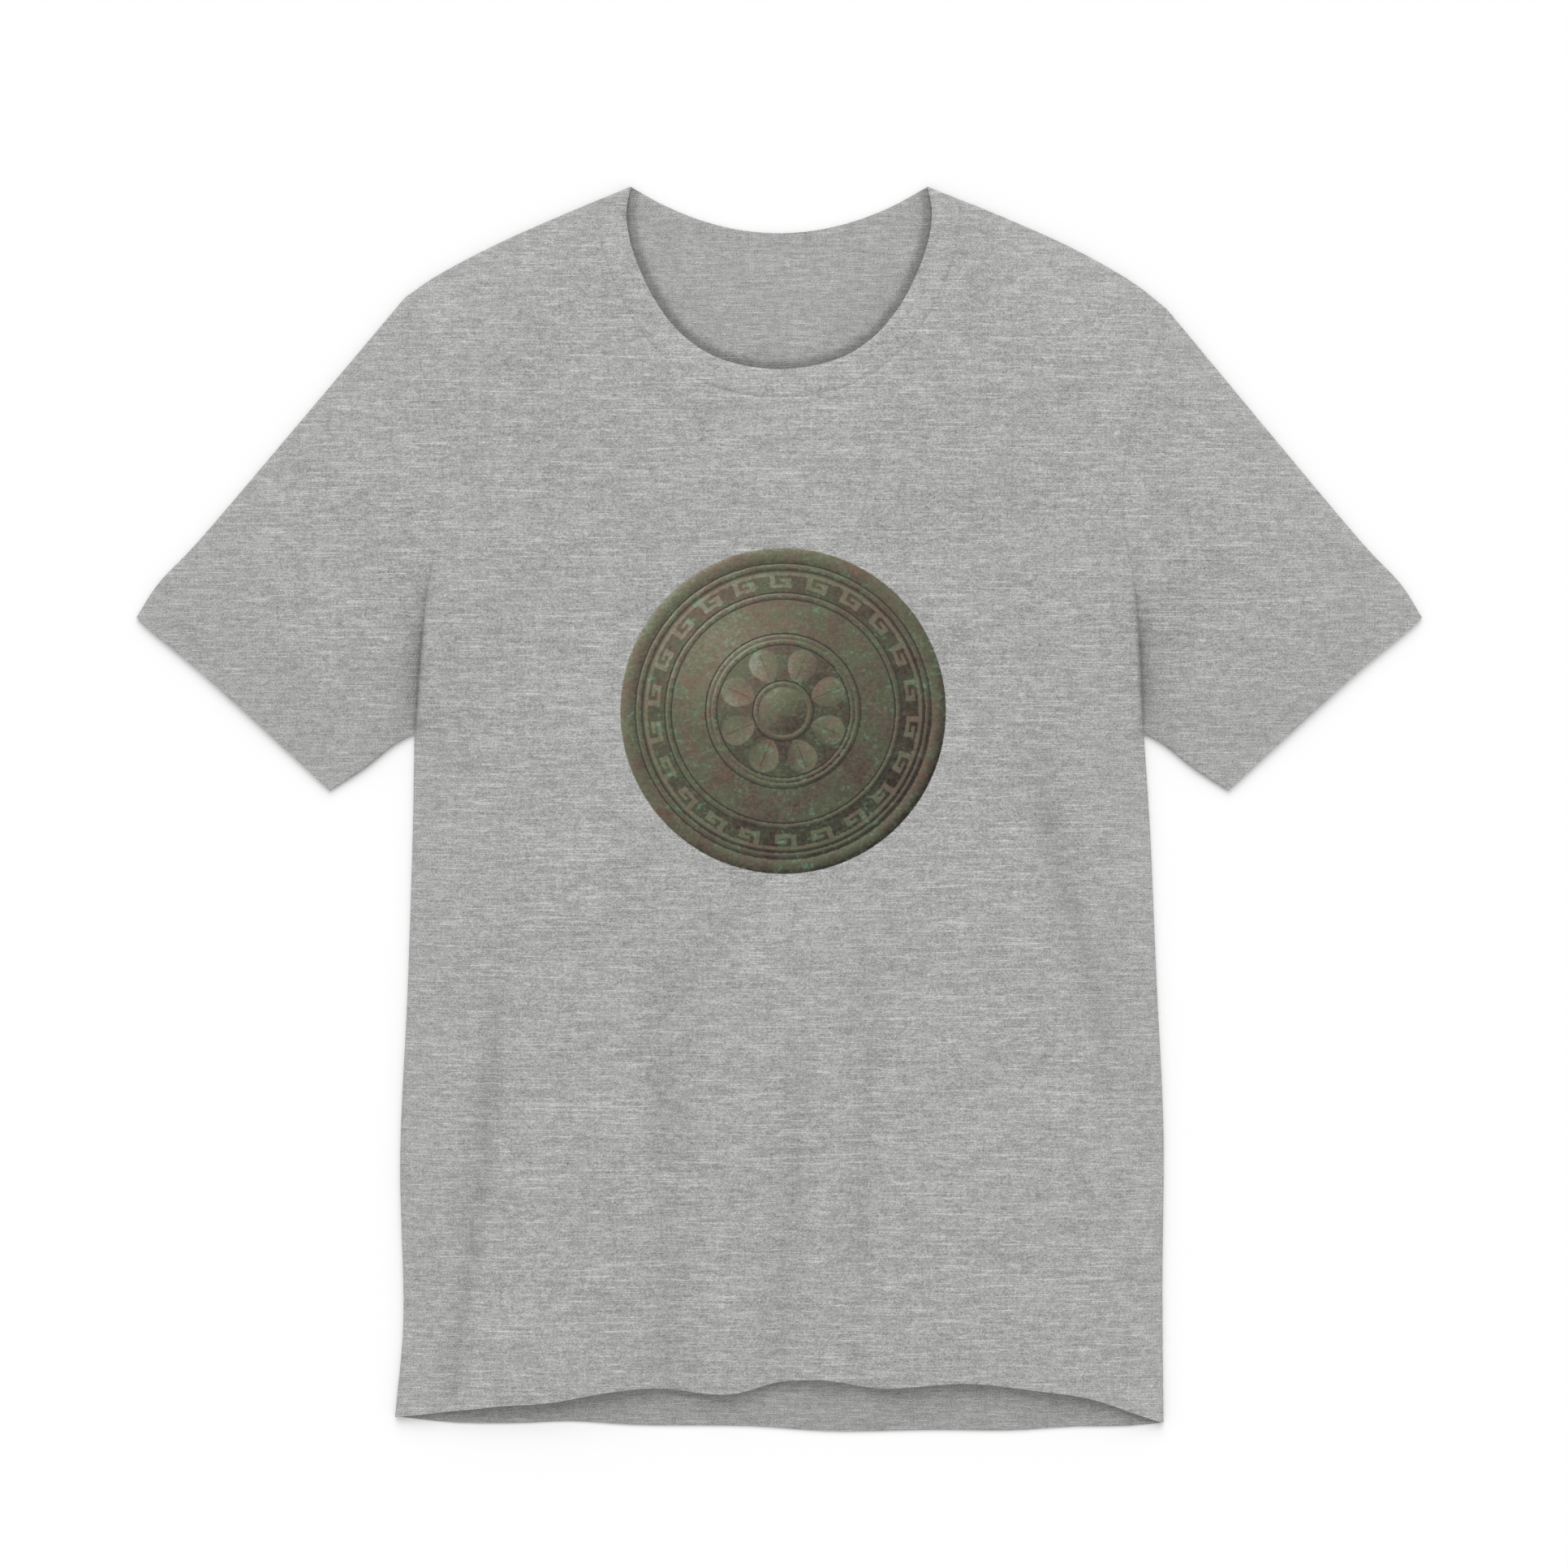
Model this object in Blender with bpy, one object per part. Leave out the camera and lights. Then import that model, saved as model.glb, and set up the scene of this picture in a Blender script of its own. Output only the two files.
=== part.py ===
"""A short-sleeved crew-neck T-shirt of thin jersey, lying face up and flat with its sleeves spread.

X runs to the wearer's left, Y towards the neck and Z up out of the front. The origin lies on the
surface under the middle of the garment. Each piece is a wall of cloth. The upper layer is held up
by the air inside, turns down over a round fold along the shoulders, sleeves and sides, and stays
open at the neck, the cuffs and the hem.
"""
import math

import bmesh
import bpy
import numpy as np

# Body of the garment, in metres
BODY_LENGTH = 0.717
CHEST_WIDTH = 0.420
SHOULDER_WIDTH = 0.438
SHOULDER_DROP = 0.067
ARMPIT_DROP = 0.315
ARMHOLE_BOW = 0.0205
FRONT_HEM_RISE = 0.028

# Neck
NECK_WIDTH = 0.171
FRONT_NECK_DROP = 0.106
BACK_NECK_DROP = 0.0267
BAND_WIDTH = 0.0165
# Run of the band next to a shoulder, in band widths, over which it swings round from the shoulder's line
BAND_SWING = 1.6

# Sleeves: the angles are below the horizontal
SLEEVE_LENGTH = 0.236
SLEEVE_ANGLE = math.radians(50.1)
CUFF_WIDTH = 0.150
CUFF_ANGLE = math.radians(41.8)
CUFF_CORNER = 0.0028
CUFF_BOW = 0.0013

# Cloth, and how it lies
JERSEY_THICKNESS = 0.0010
RIB_THICKNESS = 0.0018
SEAM_GAP = 0.0005
FOLD_RADIUS = 0.0030
LOFT = 0.0125
LOFT_REACH = 0.045
OPEN_EDGE_EASE = 0.50
NECK_EDGE_EASE = 0.85
OPEN_EDGE_REACH = 0.045

# How each half lies, as shares of the sizes above
LAY = {
    "wearers_right": {"side": -1, "shoulder_out": 0.983, "shoulder_drop": 0.95, "shoulder_bow": 0.93,
                      "hem_drop": 0.988},
    "wearers_left": {"side": 1, "shoulder_out": 1.019, "shoulder_drop": 1.05, "shoulder_bow": 1.28,
                     "hem_drop": 0.993},
}

# Shoulder fold from the neck point: share of its run, and how far it bows up, as a share of its drop
SHOULDER = ((0.0, 0.0), (0.30, 0.05), (0.60, 0.08), (0.85, 0.06), (1.0, 0.0))

# Armhole from the shoulder point: share of its depth, and of its inward bow
ARMHOLE = ((0.0, 0.0), (0.13, 0.32), (0.25, 0.75), (0.40, 1.0), (0.53, 0.90), (0.66, 0.50),
           (0.80, 0.20), (1.0, 0.0))

# Side fold from the armpit: share of the way down to the hem, and width as a share of half the chest
SIDE = {
    "wearers_right": ((0.0, 1.0), (0.15, 1.005), (0.38, 1.019), (0.62, 1.039), (0.85, 1.030), (1.0, 1.053)),
    "wearers_left": ((0.0, 1.0), (0.15, 1.018), (0.36, 1.035), (0.58, 1.054), (0.80, 1.051), (1.0, 1.054)),
}

# Edges of a sleeve: share of the way along, and how far it bows outwards, as a share of the bow
SLEEVE_TOP = ((0.40, 0.05), (0.75, 0.25), (0.90, 1.0))
CUFF = ((0.08, 0.25), (0.35, -1.0), (0.75, -0.6))
UNDERARM = ((0.40, 0.4), (0.75, -0.8))

# Inner edge of the band in front: share of the front neck drop, and of half the neck width
FRONT_NECK = ((0.0, 1.0), (0.17, 1.028), (0.39, 0.968), (0.64, 0.822), (0.83, 0.625), (0.95, 0.37),
              (1.0, 0.0))

# Front and back hem from the wearer's right to the left: share of the way across, and of the front's rise
FRONT_HEM = ((0.10, 0.49), (0.15, 0.58), (0.20, 0.63), (0.28, 0.85), (0.34, 0.93), (0.43, 0.80),
             (0.50, 1.05), (0.56, 1.10), (0.63, 0.93), (0.74, 1.03), (0.82, 0.90), (0.90, 0.72),
             (0.96, 0.40))
BACK_HEM = ((0.08, 0.18), (0.16, 0.17), (0.23, 0.21), (0.32, 0.13), (0.46, 0.11), (0.57, 0.0),
            (0.70, 0.03), (0.80, 0.02), (0.88, 0.10), (0.95, 0.11))

# Folds of the front layer. Each point is a share of half the chest and of the body length;
# depth is a share of the loft, and width is in metres
FOLDS = (
    {"path": ((-0.75, 0.57), (-0.80, 0.76), (-0.89, 0.96)), "width": 0.011, "depth": 0.16},
    {"path": ((-0.31, 0.57), (-0.28, 0.76), (-0.26, 0.98)), "width": 0.019, "depth": 0.26},
    {"path": ((0.06, 0.70), (0.03, 0.80), (0.00, 0.98)), "width": 0.014, "depth": 0.20},
    {"path": ((0.28, 0.60), (0.235, 0.76), (0.22, 0.98)), "width": 0.016, "depth": 0.22},
    {"path": ((0.70, 0.45), (0.78, 0.57), (0.87, 0.66), (0.95, 0.80)), "width": 0.010, "depth": 0.24},
    {"path": ((0.64, 0.79), (0.62, 0.98)), "width": 0.013, "depth": 0.14},
    {"path": ((-0.93, 0.29), (-0.97, 0.36), (-0.99, 0.43)), "width": 0.009, "depth": 0.16},
    {"path": ((0.96, 0.29), (0.985, 0.36), (1.0, 0.43)), "width": 0.009, "depth": 0.16},
)

# Distances from a fold at which the cloth bends, as shares of the fold's radius
FOLD_STEPS = (0.0, 0.08, 0.42, 1.0)

# Number of steps along each stretch
SIDE_ROWS = 9
ARMHOLE_ROWS = 8
SHOULDER_STEPS = 5
FRONT_NECK_STEPS = 24
BACK_NECK_STEPS = 10
SLEEVE_STEPS = 9
CURVE_STEPS = 20

# Points that the parabola of the back neck is read at, on each half
BACK_NECK_POINTS = 6

# Points nearer to a fold than this lie on it
TOUCHING = 0.00002
SHARP_ANGLE = math.radians(50)

HEATHER_GREY = (0.402, 0.404, 0.396, 1.0)
CLOTH_ROUGHNESS = 0.9

TOP = BODY_LENGTH / 2


class Curve:
    """A smooth plan curve through a few points, read by its share of the length."""

    def __init__(self, points):
        spine = np.array(points, dtype=float)
        if len(spine) > 2:
            spine = self.smoothed(spine)
        self.points = spine
        steps = np.linalg.norm(np.diff(spine, axis=0), axis=1)
        self.along = np.concatenate(([0.0], np.cumsum(steps)))
        self.length = self.along[-1]

    @staticmethod
    def smoothed(spine):
        """A Catmull-Rom curve through the points."""
        padded = np.vstack((2 * spine[0] - spine[1], spine, 2 * spine[-1] - spine[-2]))
        share = np.linspace(0.0, 1.0, CURVE_STEPS, endpoint=False)[:, None]
        spans = []
        for before, start, end, after in zip(padded, padded[1:], padded[2:], padded[3:]):
            spans.append(0.5 * (2 * start + (end - before) * share
                                + (2 * before - 5 * start + 4 * end - after) * share ** 2
                                + (3 * start - before - 3 * end + after) * share ** 3))
        return np.vstack(spans + [spine[-1:]])

    def at(self, shares):
        """Points at shares of the length."""
        reach = np.asarray(shares) * self.length
        return np.stack([np.interp(reach, self.along, self.points[:, axis]) for axis in (0, 1)], axis=1)

    def side_of(self, shares, reach=0.001):
        """Unit vectors to the right of the curve's direction."""
        shares = np.asarray(shares)
        step = reach / self.length
        ahead = self.at(np.minimum(shares + step, 1)) - self.at(np.maximum(shares - step, 0))
        return unit(np.stack((ahead[:, 1], -ahead[:, 0]), axis=1))


def unit(vectors):
    """The vectors at length one."""
    return vectors / np.linalg.norm(vectors, axis=-1, keepdims=True)


def distance_to(points, paths):
    """Distance from each plan point to the nearest of several chains of straight pieces."""
    gaps = [np.linalg.norm(points[:, None] - nearest_on(points, path), axis=-1).min(axis=1)
            for path in paths]
    return np.min(gaps, axis=0)


def nearest_on(points, path):
    """The nearest place to each point on each straight piece of a chain."""
    start = path[:-1]
    span = path[1:] - start
    offset = points[:, None, :] - start[None]
    share = np.clip((offset * span).sum(-1) / (span ** 2).sum(-1), 0, 1)
    return start + share[..., None] * span


def into_cloth(points, folds):
    """Unit vectors from the nearest fold into the garment."""
    near = np.concatenate([nearest_on(points, path) for path, side in folds], axis=1)
    spans = np.concatenate([unit(np.diff(path, axis=0)) * -side for path, side in folds])
    normals = np.stack((-spans[:, 1], spans[:, 0]), axis=1)
    offset = points[:, None] - near
    gap = np.linalg.norm(offset, axis=-1)
    closest = gap.argmin(axis=1)
    chosen = offset[np.arange(len(points)), closest]
    touching = gap < TOUCHING
    on_edge = touching.any(axis=1)
    chosen[on_edge] = (touching[on_edge, :, None] * normals[None]).sum(axis=1)
    return unit(chosen)


def fold_steps(length, middle):
    """Shares of a length between two folds, closer together next to them."""
    near = np.array(FOLD_STEPS) * FOLD_RADIUS / length
    between = np.linspace(near[-1], 1 - near[-1], middle + 1)[1:-1]
    return np.concatenate((near, between, 1 - near[::-1]))


class Half:
    """The plan curves of one half of the garment."""

    def __init__(self, name):
        row = LAY[name]
        side = row["side"]
        self.side = side
        self.neck_point = np.array((side * NECK_WIDTH / 2, TOP))
        self.shoulder_point = np.array((side * SHOULDER_WIDTH / 2 * row["shoulder_out"],
                                        TOP - SHOULDER_DROP * row["shoulder_drop"]))
        run = self.shoulder_point - self.neck_point
        bow_up = np.array((0.0, -run[1] * row["shoulder_bow"]))
        self.shoulder = Curve([self.neck_point + run * share + bow_up * bow for share, bow in SHOULDER])
        self.armpit = np.array((side * CHEST_WIDTH / 2, TOP - ARMPIT_DROP))
        drop = self.armpit - self.shoulder_point
        inward = np.array((-side, 0.0))
        self.armhole = Curve([self.shoulder_point + drop * depth + inward * ARMHOLE_BOW * bow
                              for depth, bow in ARMHOLE])
        sleeve_run = np.array((side * math.cos(SLEEVE_ANGLE), -math.sin(SLEEVE_ANGLE)))
        mean_shoulder_point = np.array((side * SHOULDER_WIDTH / 2, TOP - SHOULDER_DROP))
        self.cuff_top = mean_shoulder_point + SLEEVE_LENGTH * sleeve_run
        cuff_run = np.array((-side * math.cos(CUFF_ANGLE), -math.sin(CUFF_ANGLE)))
        self.cuff_bottom = self.cuff_top + CUFF_WIDTH * cuff_run
        self.sleeve_top = self.bowed(self.shoulder_point, self.cuff_top, SLEEVE_TOP, CUFF_CORNER)
        self.cuff = self.bowed(self.cuff_top, self.cuff_bottom, CUFF, CUFF_BOW)
        self.underarm = self.bowed(self.cuff_bottom, self.armpit, UNDERARM, CUFF_BOW)
        fall = TOP - BODY_LENGTH * row["hem_drop"] - self.armpit[1]
        self.side_fold = Curve([(self.armpit[0] * width, self.armpit[1] + fall * down)
                                for down, width in SIDE[name]])

    def bowed(self, start, end, shape, bow):
        """A curve from start to end, set outwards by shares of a bow at shares of the way."""
        run = end - start
        outward = unit(np.array((-run[1], run[0]))) * self.side
        points = [start + run * share + outward * bow * out for share, out in shape]
        return Curve([start] + points + [end])

    def folds(self):
        """The chains of the closed, folded outline on this half, with the half's side."""
        return [(curve.points, self.side)
                for curve in (self.shoulder, self.sleeve_top, self.underarm, self.side_fold)]


RIGHT = Half("wearers_right")
LEFT = Half("wearers_left")
FOLDED_EDGES = RIGHT.folds() + LEFT.folds()
CLOSED_EDGES = [path for path, side in FOLDED_EDGES]


def neck_edge(front):
    """The neck opening's edge, from the wearer's right to the left."""
    half = NECK_WIDTH / 2
    if front:
        left = [(half * across, TOP - FRONT_NECK_DROP * down) for down, across in FRONT_NECK]
    else:
        left = [(half * across, TOP - BACK_NECK_DROP * (1 - across ** 2))
                for across in np.linspace(1, 0, BACK_NECK_POINTS)]
    right = [(-x, y) for x, y in left[:-1]]
    return Curve(right + left[::-1])


def band_seam_end(half):
    """The place on the shoulder fold where the neck band ends."""
    return half.shoulder.at([BAND_WIDTH / half.shoulder.length])[0]


def band_rows(front):
    """Plan points of the neck band's edge and of its seam at the same steps, and the way between them."""
    edge = neck_edge(front)
    shares = fold_steps(edge.length, FRONT_NECK_STEPS if front else BACK_NECK_STEPS)
    inner = edge.at(shares)
    outward = edge.side_of(shares)
    for half, near in ((RIGHT, shares), (LEFT, 1 - shares)):
        along_shoulder = unit(band_seam_end(half) - half.neck_point)
        weight = np.clip(1 - near * edge.length / (BAND_WIDTH * BAND_SWING), 0, 1)[:, None]
        outward = outward * (1 - weight) + along_shoulder * weight
    outward = unit(outward)
    seam = inner + BAND_WIDTH * outward
    seam[0] = band_seam_end(RIGHT)
    seam[-1] = band_seam_end(LEFT)
    return inner, seam, outward


def hem_curve(front):
    """The lower edge of the body from the wearer's right to the left."""
    start = RIGHT.side_fold.points[-1]
    end = LEFT.side_fold.points[-1]
    shape = FRONT_HEM if front else BACK_HEM
    middle = [(start[0] + (end - start)[0] * share, FRONT_HEM_RISE * rise - TOP) for share, rise in shape]
    return Curve([start] + middle + [end])


FRONT_HEM_CURVE = hem_curve(True)
BACK_HEM_CURVE = hem_curve(False)
FRONT_BAND = band_rows(True)
BACK_BAND = band_rows(False)
LIFTED_EDGES = [FRONT_HEM_CURVE.points, RIGHT.cuff.points, LEFT.cuff.points]


def fold_paths():
    """The folds' plan chains."""
    size = np.array((CHEST_WIDTH / 2, -BODY_LENGTH))
    return [Curve(np.array(fold["path"]) * size + (0.0, TOP)).points for fold in FOLDS]


FOLD_PATHS = fold_paths()


def lay(plan, on_fold, upper):
    """Heights of the outer face of a layer, and what turns it into the inner face."""
    points = plan.reshape(-1, 2)
    inside = np.where(on_fold.ravel(), 0.0, distance_to(points, CLOSED_EDGES))
    sideways = 1 - np.clip(inside / FOLD_RADIUS, 0, 1)
    upright = np.sqrt(1 - sideways ** 2)
    if upper:
        height = FOLD_RADIUS * (1 + upright) + loft(points, np.maximum(inside - FOLD_RADIUS, 0))
    else:
        height = FOLD_RADIUS * (1 - upright)
        upright = -upright
    turn = np.column_stack((into_cloth(points, FOLDED_EDGES) * sideways[:, None], -upright))
    return height.reshape(on_fold.shape), turn.reshape(*on_fold.shape, 3)


def loft(points, reach):
    """How far the air inside lifts the upper layer above its folded edges."""
    lift = LOFT * (1 - np.exp(-reach / LOFT_REACH))
    for ease, edges in ((OPEN_EDGE_EASE, LIFTED_EDGES), (NECK_EDGE_EASE, [FRONT_BAND[0]])):
        lift = lift * (1 - ease * np.exp(-distance_to(points, edges) / OPEN_EDGE_REACH))
    for fold, path in zip(FOLDS, FOLD_PATHS):
        dip = np.exp(-(distance_to(points, [path]) / fold["width"]) ** 2)
        lift = lift * (1 - fold["depth"] * dip)
    return lift


def coons(bottom, top, left, right):
    """Plan points of a grid between four edges, as an array of rows and columns."""
    across = ((shares_along(bottom) + shares_along(top)) / 2)[None, :, None]
    up = ((shares_along(left) + shares_along(right)) / 2)[:, None, None]
    ruled_up = bottom[None] * (1 - up) + top[None] * up
    ruled_across = left[:, None] * (1 - across) + right[:, None] * across
    corners = ((bottom[0] * (1 - across) + bottom[-1] * across) * (1 - up)
               + (top[0] * (1 - across) + top[-1] * across) * up)
    return ruled_up + ruled_across - corners


def shares_along(points):
    """Share of the whole length at each point of an edge."""
    steps = np.linalg.norm(np.diff(points, axis=0), axis=1)
    along = np.concatenate(([0.0], np.cumsum(steps)))
    return along / along[-1]


def panel_edge(half):
    """Points up the edge of a body panel with its seam gap: side fold, armhole, then shoulder fold."""
    side = half.side_fold.at(np.linspace(1, 0, SIDE_ROWS + 1)[:-1])
    shares = armhole_shares(half)[::-1]
    hole = half.armhole.at(shares)
    inset = half.armhole.side_of(shares) * half.side * SEAM_GAP / 2
    shoulder = half.shoulder.at(np.linspace(1, BAND_WIDTH / half.shoulder.length, SHOULDER_STEPS + 1)[1:])
    on_fold = np.array([True] * (len(side) + 1) + [False] * (len(hole) - 2) + [True] * (SHOULDER_STEPS + 1))
    insets = np.vstack((np.zeros_like(side), inset, np.zeros_like(shoulder)))
    return np.vstack((side, hole, shoulder)), insets, on_fold


def armhole_shares(half):
    """Steps down the armhole from the shoulder point to the armpit."""
    return fold_steps(half.armhole.length, ARMHOLE_ROWS)


def wall_object(name, plan, height, turn, thickness, closed=False):
    """A wall of cloth from a grid of plan points, the heights of its outer face and its inward turn."""
    rows, columns = height.shape
    outer = np.dstack((plan, height))
    inner = outer + turn * thickness
    mesh = bmesh.new()
    bmesh.ops.create_grid(mesh, x_segments=columns - 1, y_segments=rows - 1, size=0.5)
    row_of = mesh.verts.layers.int.new("row")
    column_of = mesh.verts.layers.int.new("column")
    for vertex in mesh.verts:
        vertex[column_of] = round((vertex.co.x + 0.5) * (columns - 1))
        vertex[row_of] = round((vertex.co.y + 0.5) * (rows - 1))
        vertex.co = outer[vertex[row_of], vertex[column_of]]
    if closed:
        bmesh.ops.remove_doubles(mesh, verts=mesh.verts, dist=1e-6)
    walled = bmesh.ops.extrude_face_region(mesh, geom=mesh.faces[:], use_keep_orig=True)
    for vertex in walled["geom"]:
        if isinstance(vertex, bmesh.types.BMVert):
            vertex.co = inner[vertex[row_of], vertex[column_of]]
    bmesh.ops.recalc_face_normals(mesh, faces=mesh.faces)
    data = bpy.data.meshes.new(name)
    mesh.to_mesh(data)
    mesh.free()
    data.shade_smooth()
    data.set_sharp_from_angle(angle=SHARP_ANGLE)
    piece = bpy.data.objects.new(name, data)
    bpy.context.scene.collection.objects.link(piece)
    piece.data.materials.append(cloth(name))
    return piece


def cloth(name):
    """Matt heather-grey cotton for one piece."""
    material = bpy.data.materials.new(name + "_cloth")
    material.use_nodes = True
    shader = material.node_tree.nodes["Principled BSDF"]
    shader.inputs["Base Color"].default_value = HEATHER_GREY
    shader.inputs["Roughness"].default_value = CLOTH_ROUGHNESS
    shader.inputs["Metallic"].default_value = 0.0
    return material


def body_panel(name, front):
    """The front or the back of the body, from the hem to the shoulders and the neck band's seam."""
    left, left_inset, left_fold = panel_edge(RIGHT)
    right, right_inset, right_fold = panel_edge(LEFT)
    inner, top, outward = FRONT_BAND if front else BACK_BAND
    top_inset = outward * SEAM_GAP / 2
    left_inset[-1] = top_inset[0]
    right_inset[-1] = top_inset[-1]
    hem = FRONT_HEM_CURVE if front else BACK_HEM_CURVE
    bottom = hem.at(shares_along(top))
    on_fold = np.zeros((len(left), len(top)), bool)
    on_fold[:, 0] = left_fold
    on_fold[:, -1] = right_fold
    height, turn = lay(coons(bottom, top, left, right), on_fold, upper=front)
    height += np.where(on_fold, SEAM_GAP / 2 if front else -SEAM_GAP / 2, 0.0)
    plan = coons(bottom, top + top_inset, left + left_inset, right + right_inset)
    return wall_object(name, plan, height, turn, JERSEY_THICKNESS)


def tube(name, upper_plan, lower_plan, upper_nominal, lower_nominal, thickness):
    """A closed wall whose upper and lower layers meet in a fold at both ends of their rows."""
    upper, upper_turn = lay(upper_nominal, row_ends(upper_nominal), upper=True)
    lower, lower_turn = lay(lower_nominal, row_ends(lower_nominal), upper=False)
    back = slice(-2, None, -1)
    return wall_object(name,
                       np.concatenate((upper_plan, lower_plan[:, back]), axis=1),
                       np.concatenate((upper, lower[:, back]), axis=1),
                       np.concatenate((upper_turn, lower_turn[:, back]), axis=1),
                       thickness, closed=True)


def row_ends(grid):
    """A mark on the first and last point of each row."""
    marks = np.zeros(grid.shape[:2], bool)
    marks[:, [0, -1]] = True
    return marks


def sleeve(name, half):
    """A flattened sleeve, open at the armhole and the cuff."""
    shares = armhole_shares(half)
    hole = half.armhole.at(shares)
    outset = half.armhole.side_of(shares) * -half.side * SEAM_GAP / 2
    cuff = half.cuff.at(shares)
    along = np.linspace(0, 1, SLEEVE_STEPS + 1)
    top_edge = half.sleeve_top.at(along)
    underarm = half.underarm.at(1 - along)
    nominal = coons(hole, cuff, top_edge, underarm)
    top_edge[0] += outset[0]
    underarm[0] += outset[-1]
    plan = coons(hole + outset, cuff, top_edge, underarm)
    return tube(name, plan, plan, nominal, nominal, JERSEY_THICKNESS)


def neck_band(name):
    """The folded rib ring round the neck, its front on the upper layer and its back on the lower."""
    layers = []
    for inner, seam, outward in (FRONT_BAND, BACK_BAND):
        end = seam - outward * SEAM_GAP / 2
        layers.append(np.stack((inner, (inner + end) / 2, end)))
    upper, lower = layers
    return tube(name, upper, lower, upper, lower, RIB_THICKNESS)


def clear_scene():
    """Remove the objects of the file that this runs in."""
    for item in list(bpy.data.objects):
        bpy.data.objects.remove(item, do_unlink=True)


def main():
    clear_scene()
    body_panel("front_panel", front=True)
    body_panel("back_panel", front=False)
    sleeve("left_sleeve", LEFT)
    sleeve("right_sleeve", RIGHT)
    neck_band("neck_band")


main()
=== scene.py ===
"""A short-sleeved crew-neck T-shirt of heather-grey jersey, laid flat and face up with its sleeves spread.

X runs to the wearer's left, Y towards the neck and Z up out of the front, in metres. Each piece is a
wall of cloth: the upper layer is held up by the air inside, turns down over a round fold along the
shoulders, sleeves and sides, and stays open at the neck, the cuffs and the hem.
"""
import math

import bmesh
import bpy
import numpy as np
from bpy.props import FloatProperty, FloatVectorProperty, PointerProperty
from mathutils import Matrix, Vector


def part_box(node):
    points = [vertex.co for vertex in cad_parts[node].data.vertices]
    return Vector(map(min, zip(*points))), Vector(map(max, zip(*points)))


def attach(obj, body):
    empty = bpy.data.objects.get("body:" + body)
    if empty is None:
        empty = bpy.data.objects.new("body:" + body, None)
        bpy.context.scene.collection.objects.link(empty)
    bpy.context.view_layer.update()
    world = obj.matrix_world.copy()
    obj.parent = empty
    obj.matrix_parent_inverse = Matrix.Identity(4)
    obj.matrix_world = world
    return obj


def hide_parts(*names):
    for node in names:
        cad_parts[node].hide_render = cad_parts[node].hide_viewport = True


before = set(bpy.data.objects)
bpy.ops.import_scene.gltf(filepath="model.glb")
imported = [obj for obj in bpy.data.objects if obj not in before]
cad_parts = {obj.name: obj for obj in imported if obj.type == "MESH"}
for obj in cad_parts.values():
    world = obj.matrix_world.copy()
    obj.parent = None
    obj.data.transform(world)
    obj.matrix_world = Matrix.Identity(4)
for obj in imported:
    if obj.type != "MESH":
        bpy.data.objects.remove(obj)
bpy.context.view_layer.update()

bl_info = {
    "name": "Laid T-shirt",
    "version": (1, 0, 0),
    "blender": (4, 5, 0),
    "location": "3D View > Sidebar > T-shirt",
    "description": "Builds a heather-grey crew-neck T-shirt laid flat, with its chest print and its stage",
    "category": "Object",
}

# Sizes that the frame gives
NECK_POINT_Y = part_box("neck_band")[1].y
CUFF_TIP_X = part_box("left_sleeve")[1].x

# How each half lies, as shares of the sizes of the cut
LAY = {
    "wearers_right": {"side": -1, "shoulder_out": 0.983, "shoulder_drop": 0.95, "shoulder_bow": 0.93,
                      "hem_drop": 0.988},
    "wearers_left": {"side": 1, "shoulder_out": 1.019, "shoulder_drop": 1.05, "shoulder_bow": 1.28,
                     "hem_drop": 0.993},
}

# Shoulder fold from the neck point: share of its run, and how far it bows up, as a share of its drop
SHOULDER = ((0.0, 0.0), (0.30, 0.05), (0.60, 0.08), (0.85, 0.06), (1.0, 0.0))

# Armhole from the shoulder point: share of its depth, and of its inward bow
ARMHOLE = ((0.0, 0.0), (0.13, 0.32), (0.25, 0.75), (0.40, 1.0), (0.53, 0.90), (0.66, 0.52),
           (0.80, 0.26), (1.0, 0.0))

# Side fold from the armpit: share of the way down to the hem, and width as a share of half the chest
SIDE = {
    "wearers_right": ((0.0, 1.0), (0.15, 1.005), (0.38, 1.019), (0.62, 1.039), (0.85, 1.030),
                      (1.0, 1.053)),
    "wearers_left": ((0.0, 1.0), (0.15, 1.018), (0.36, 1.035), (0.58, 1.054), (0.80, 1.051),
                     (1.0, 1.054)),
}

# Edges of a sleeve: share of the way along, and how far it bows outwards, as a share of the bow
SLEEVE_TOP = ((0.40, 0.05), (0.75, 0.25), (0.90, 1.0))
CUFF = ((0.08, 0.25), (0.35, -1.0), (0.75, -0.6))
UNDERARM = ((0.40, 0.4), (0.75, -0.8))

# Inner edge of the band in front: share of the front neck drop, and of half the neck width
FRONT_NECK = ((0.0, 1.0), (0.17, 1.028), (0.39, 0.968), (0.64, 0.822), (0.83, 0.625), (0.95, 0.37),
              (1.0, 0.0))

# Front and back hem from the wearer's right to the left: share of the way across, and of the front's rise
FRONT_HEM = ((0.10, 0.49), (0.15, 0.58), (0.20, 0.63), (0.28, 0.85), (0.34, 0.93), (0.43, 0.80),
             (0.50, 1.05), (0.56, 1.10), (0.63, 0.93), (0.74, 1.03), (0.82, 0.90), (0.90, 0.72),
             (0.96, 0.40))
BACK_HEM = ((0.08, 0.18), (0.16, 0.17), (0.23, 0.21), (0.32, 0.13), (0.46, 0.11), (0.57, 0.0),
            (0.70, 0.03), (0.80, 0.02), (0.88, 0.10), (0.95, 0.11))

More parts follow.
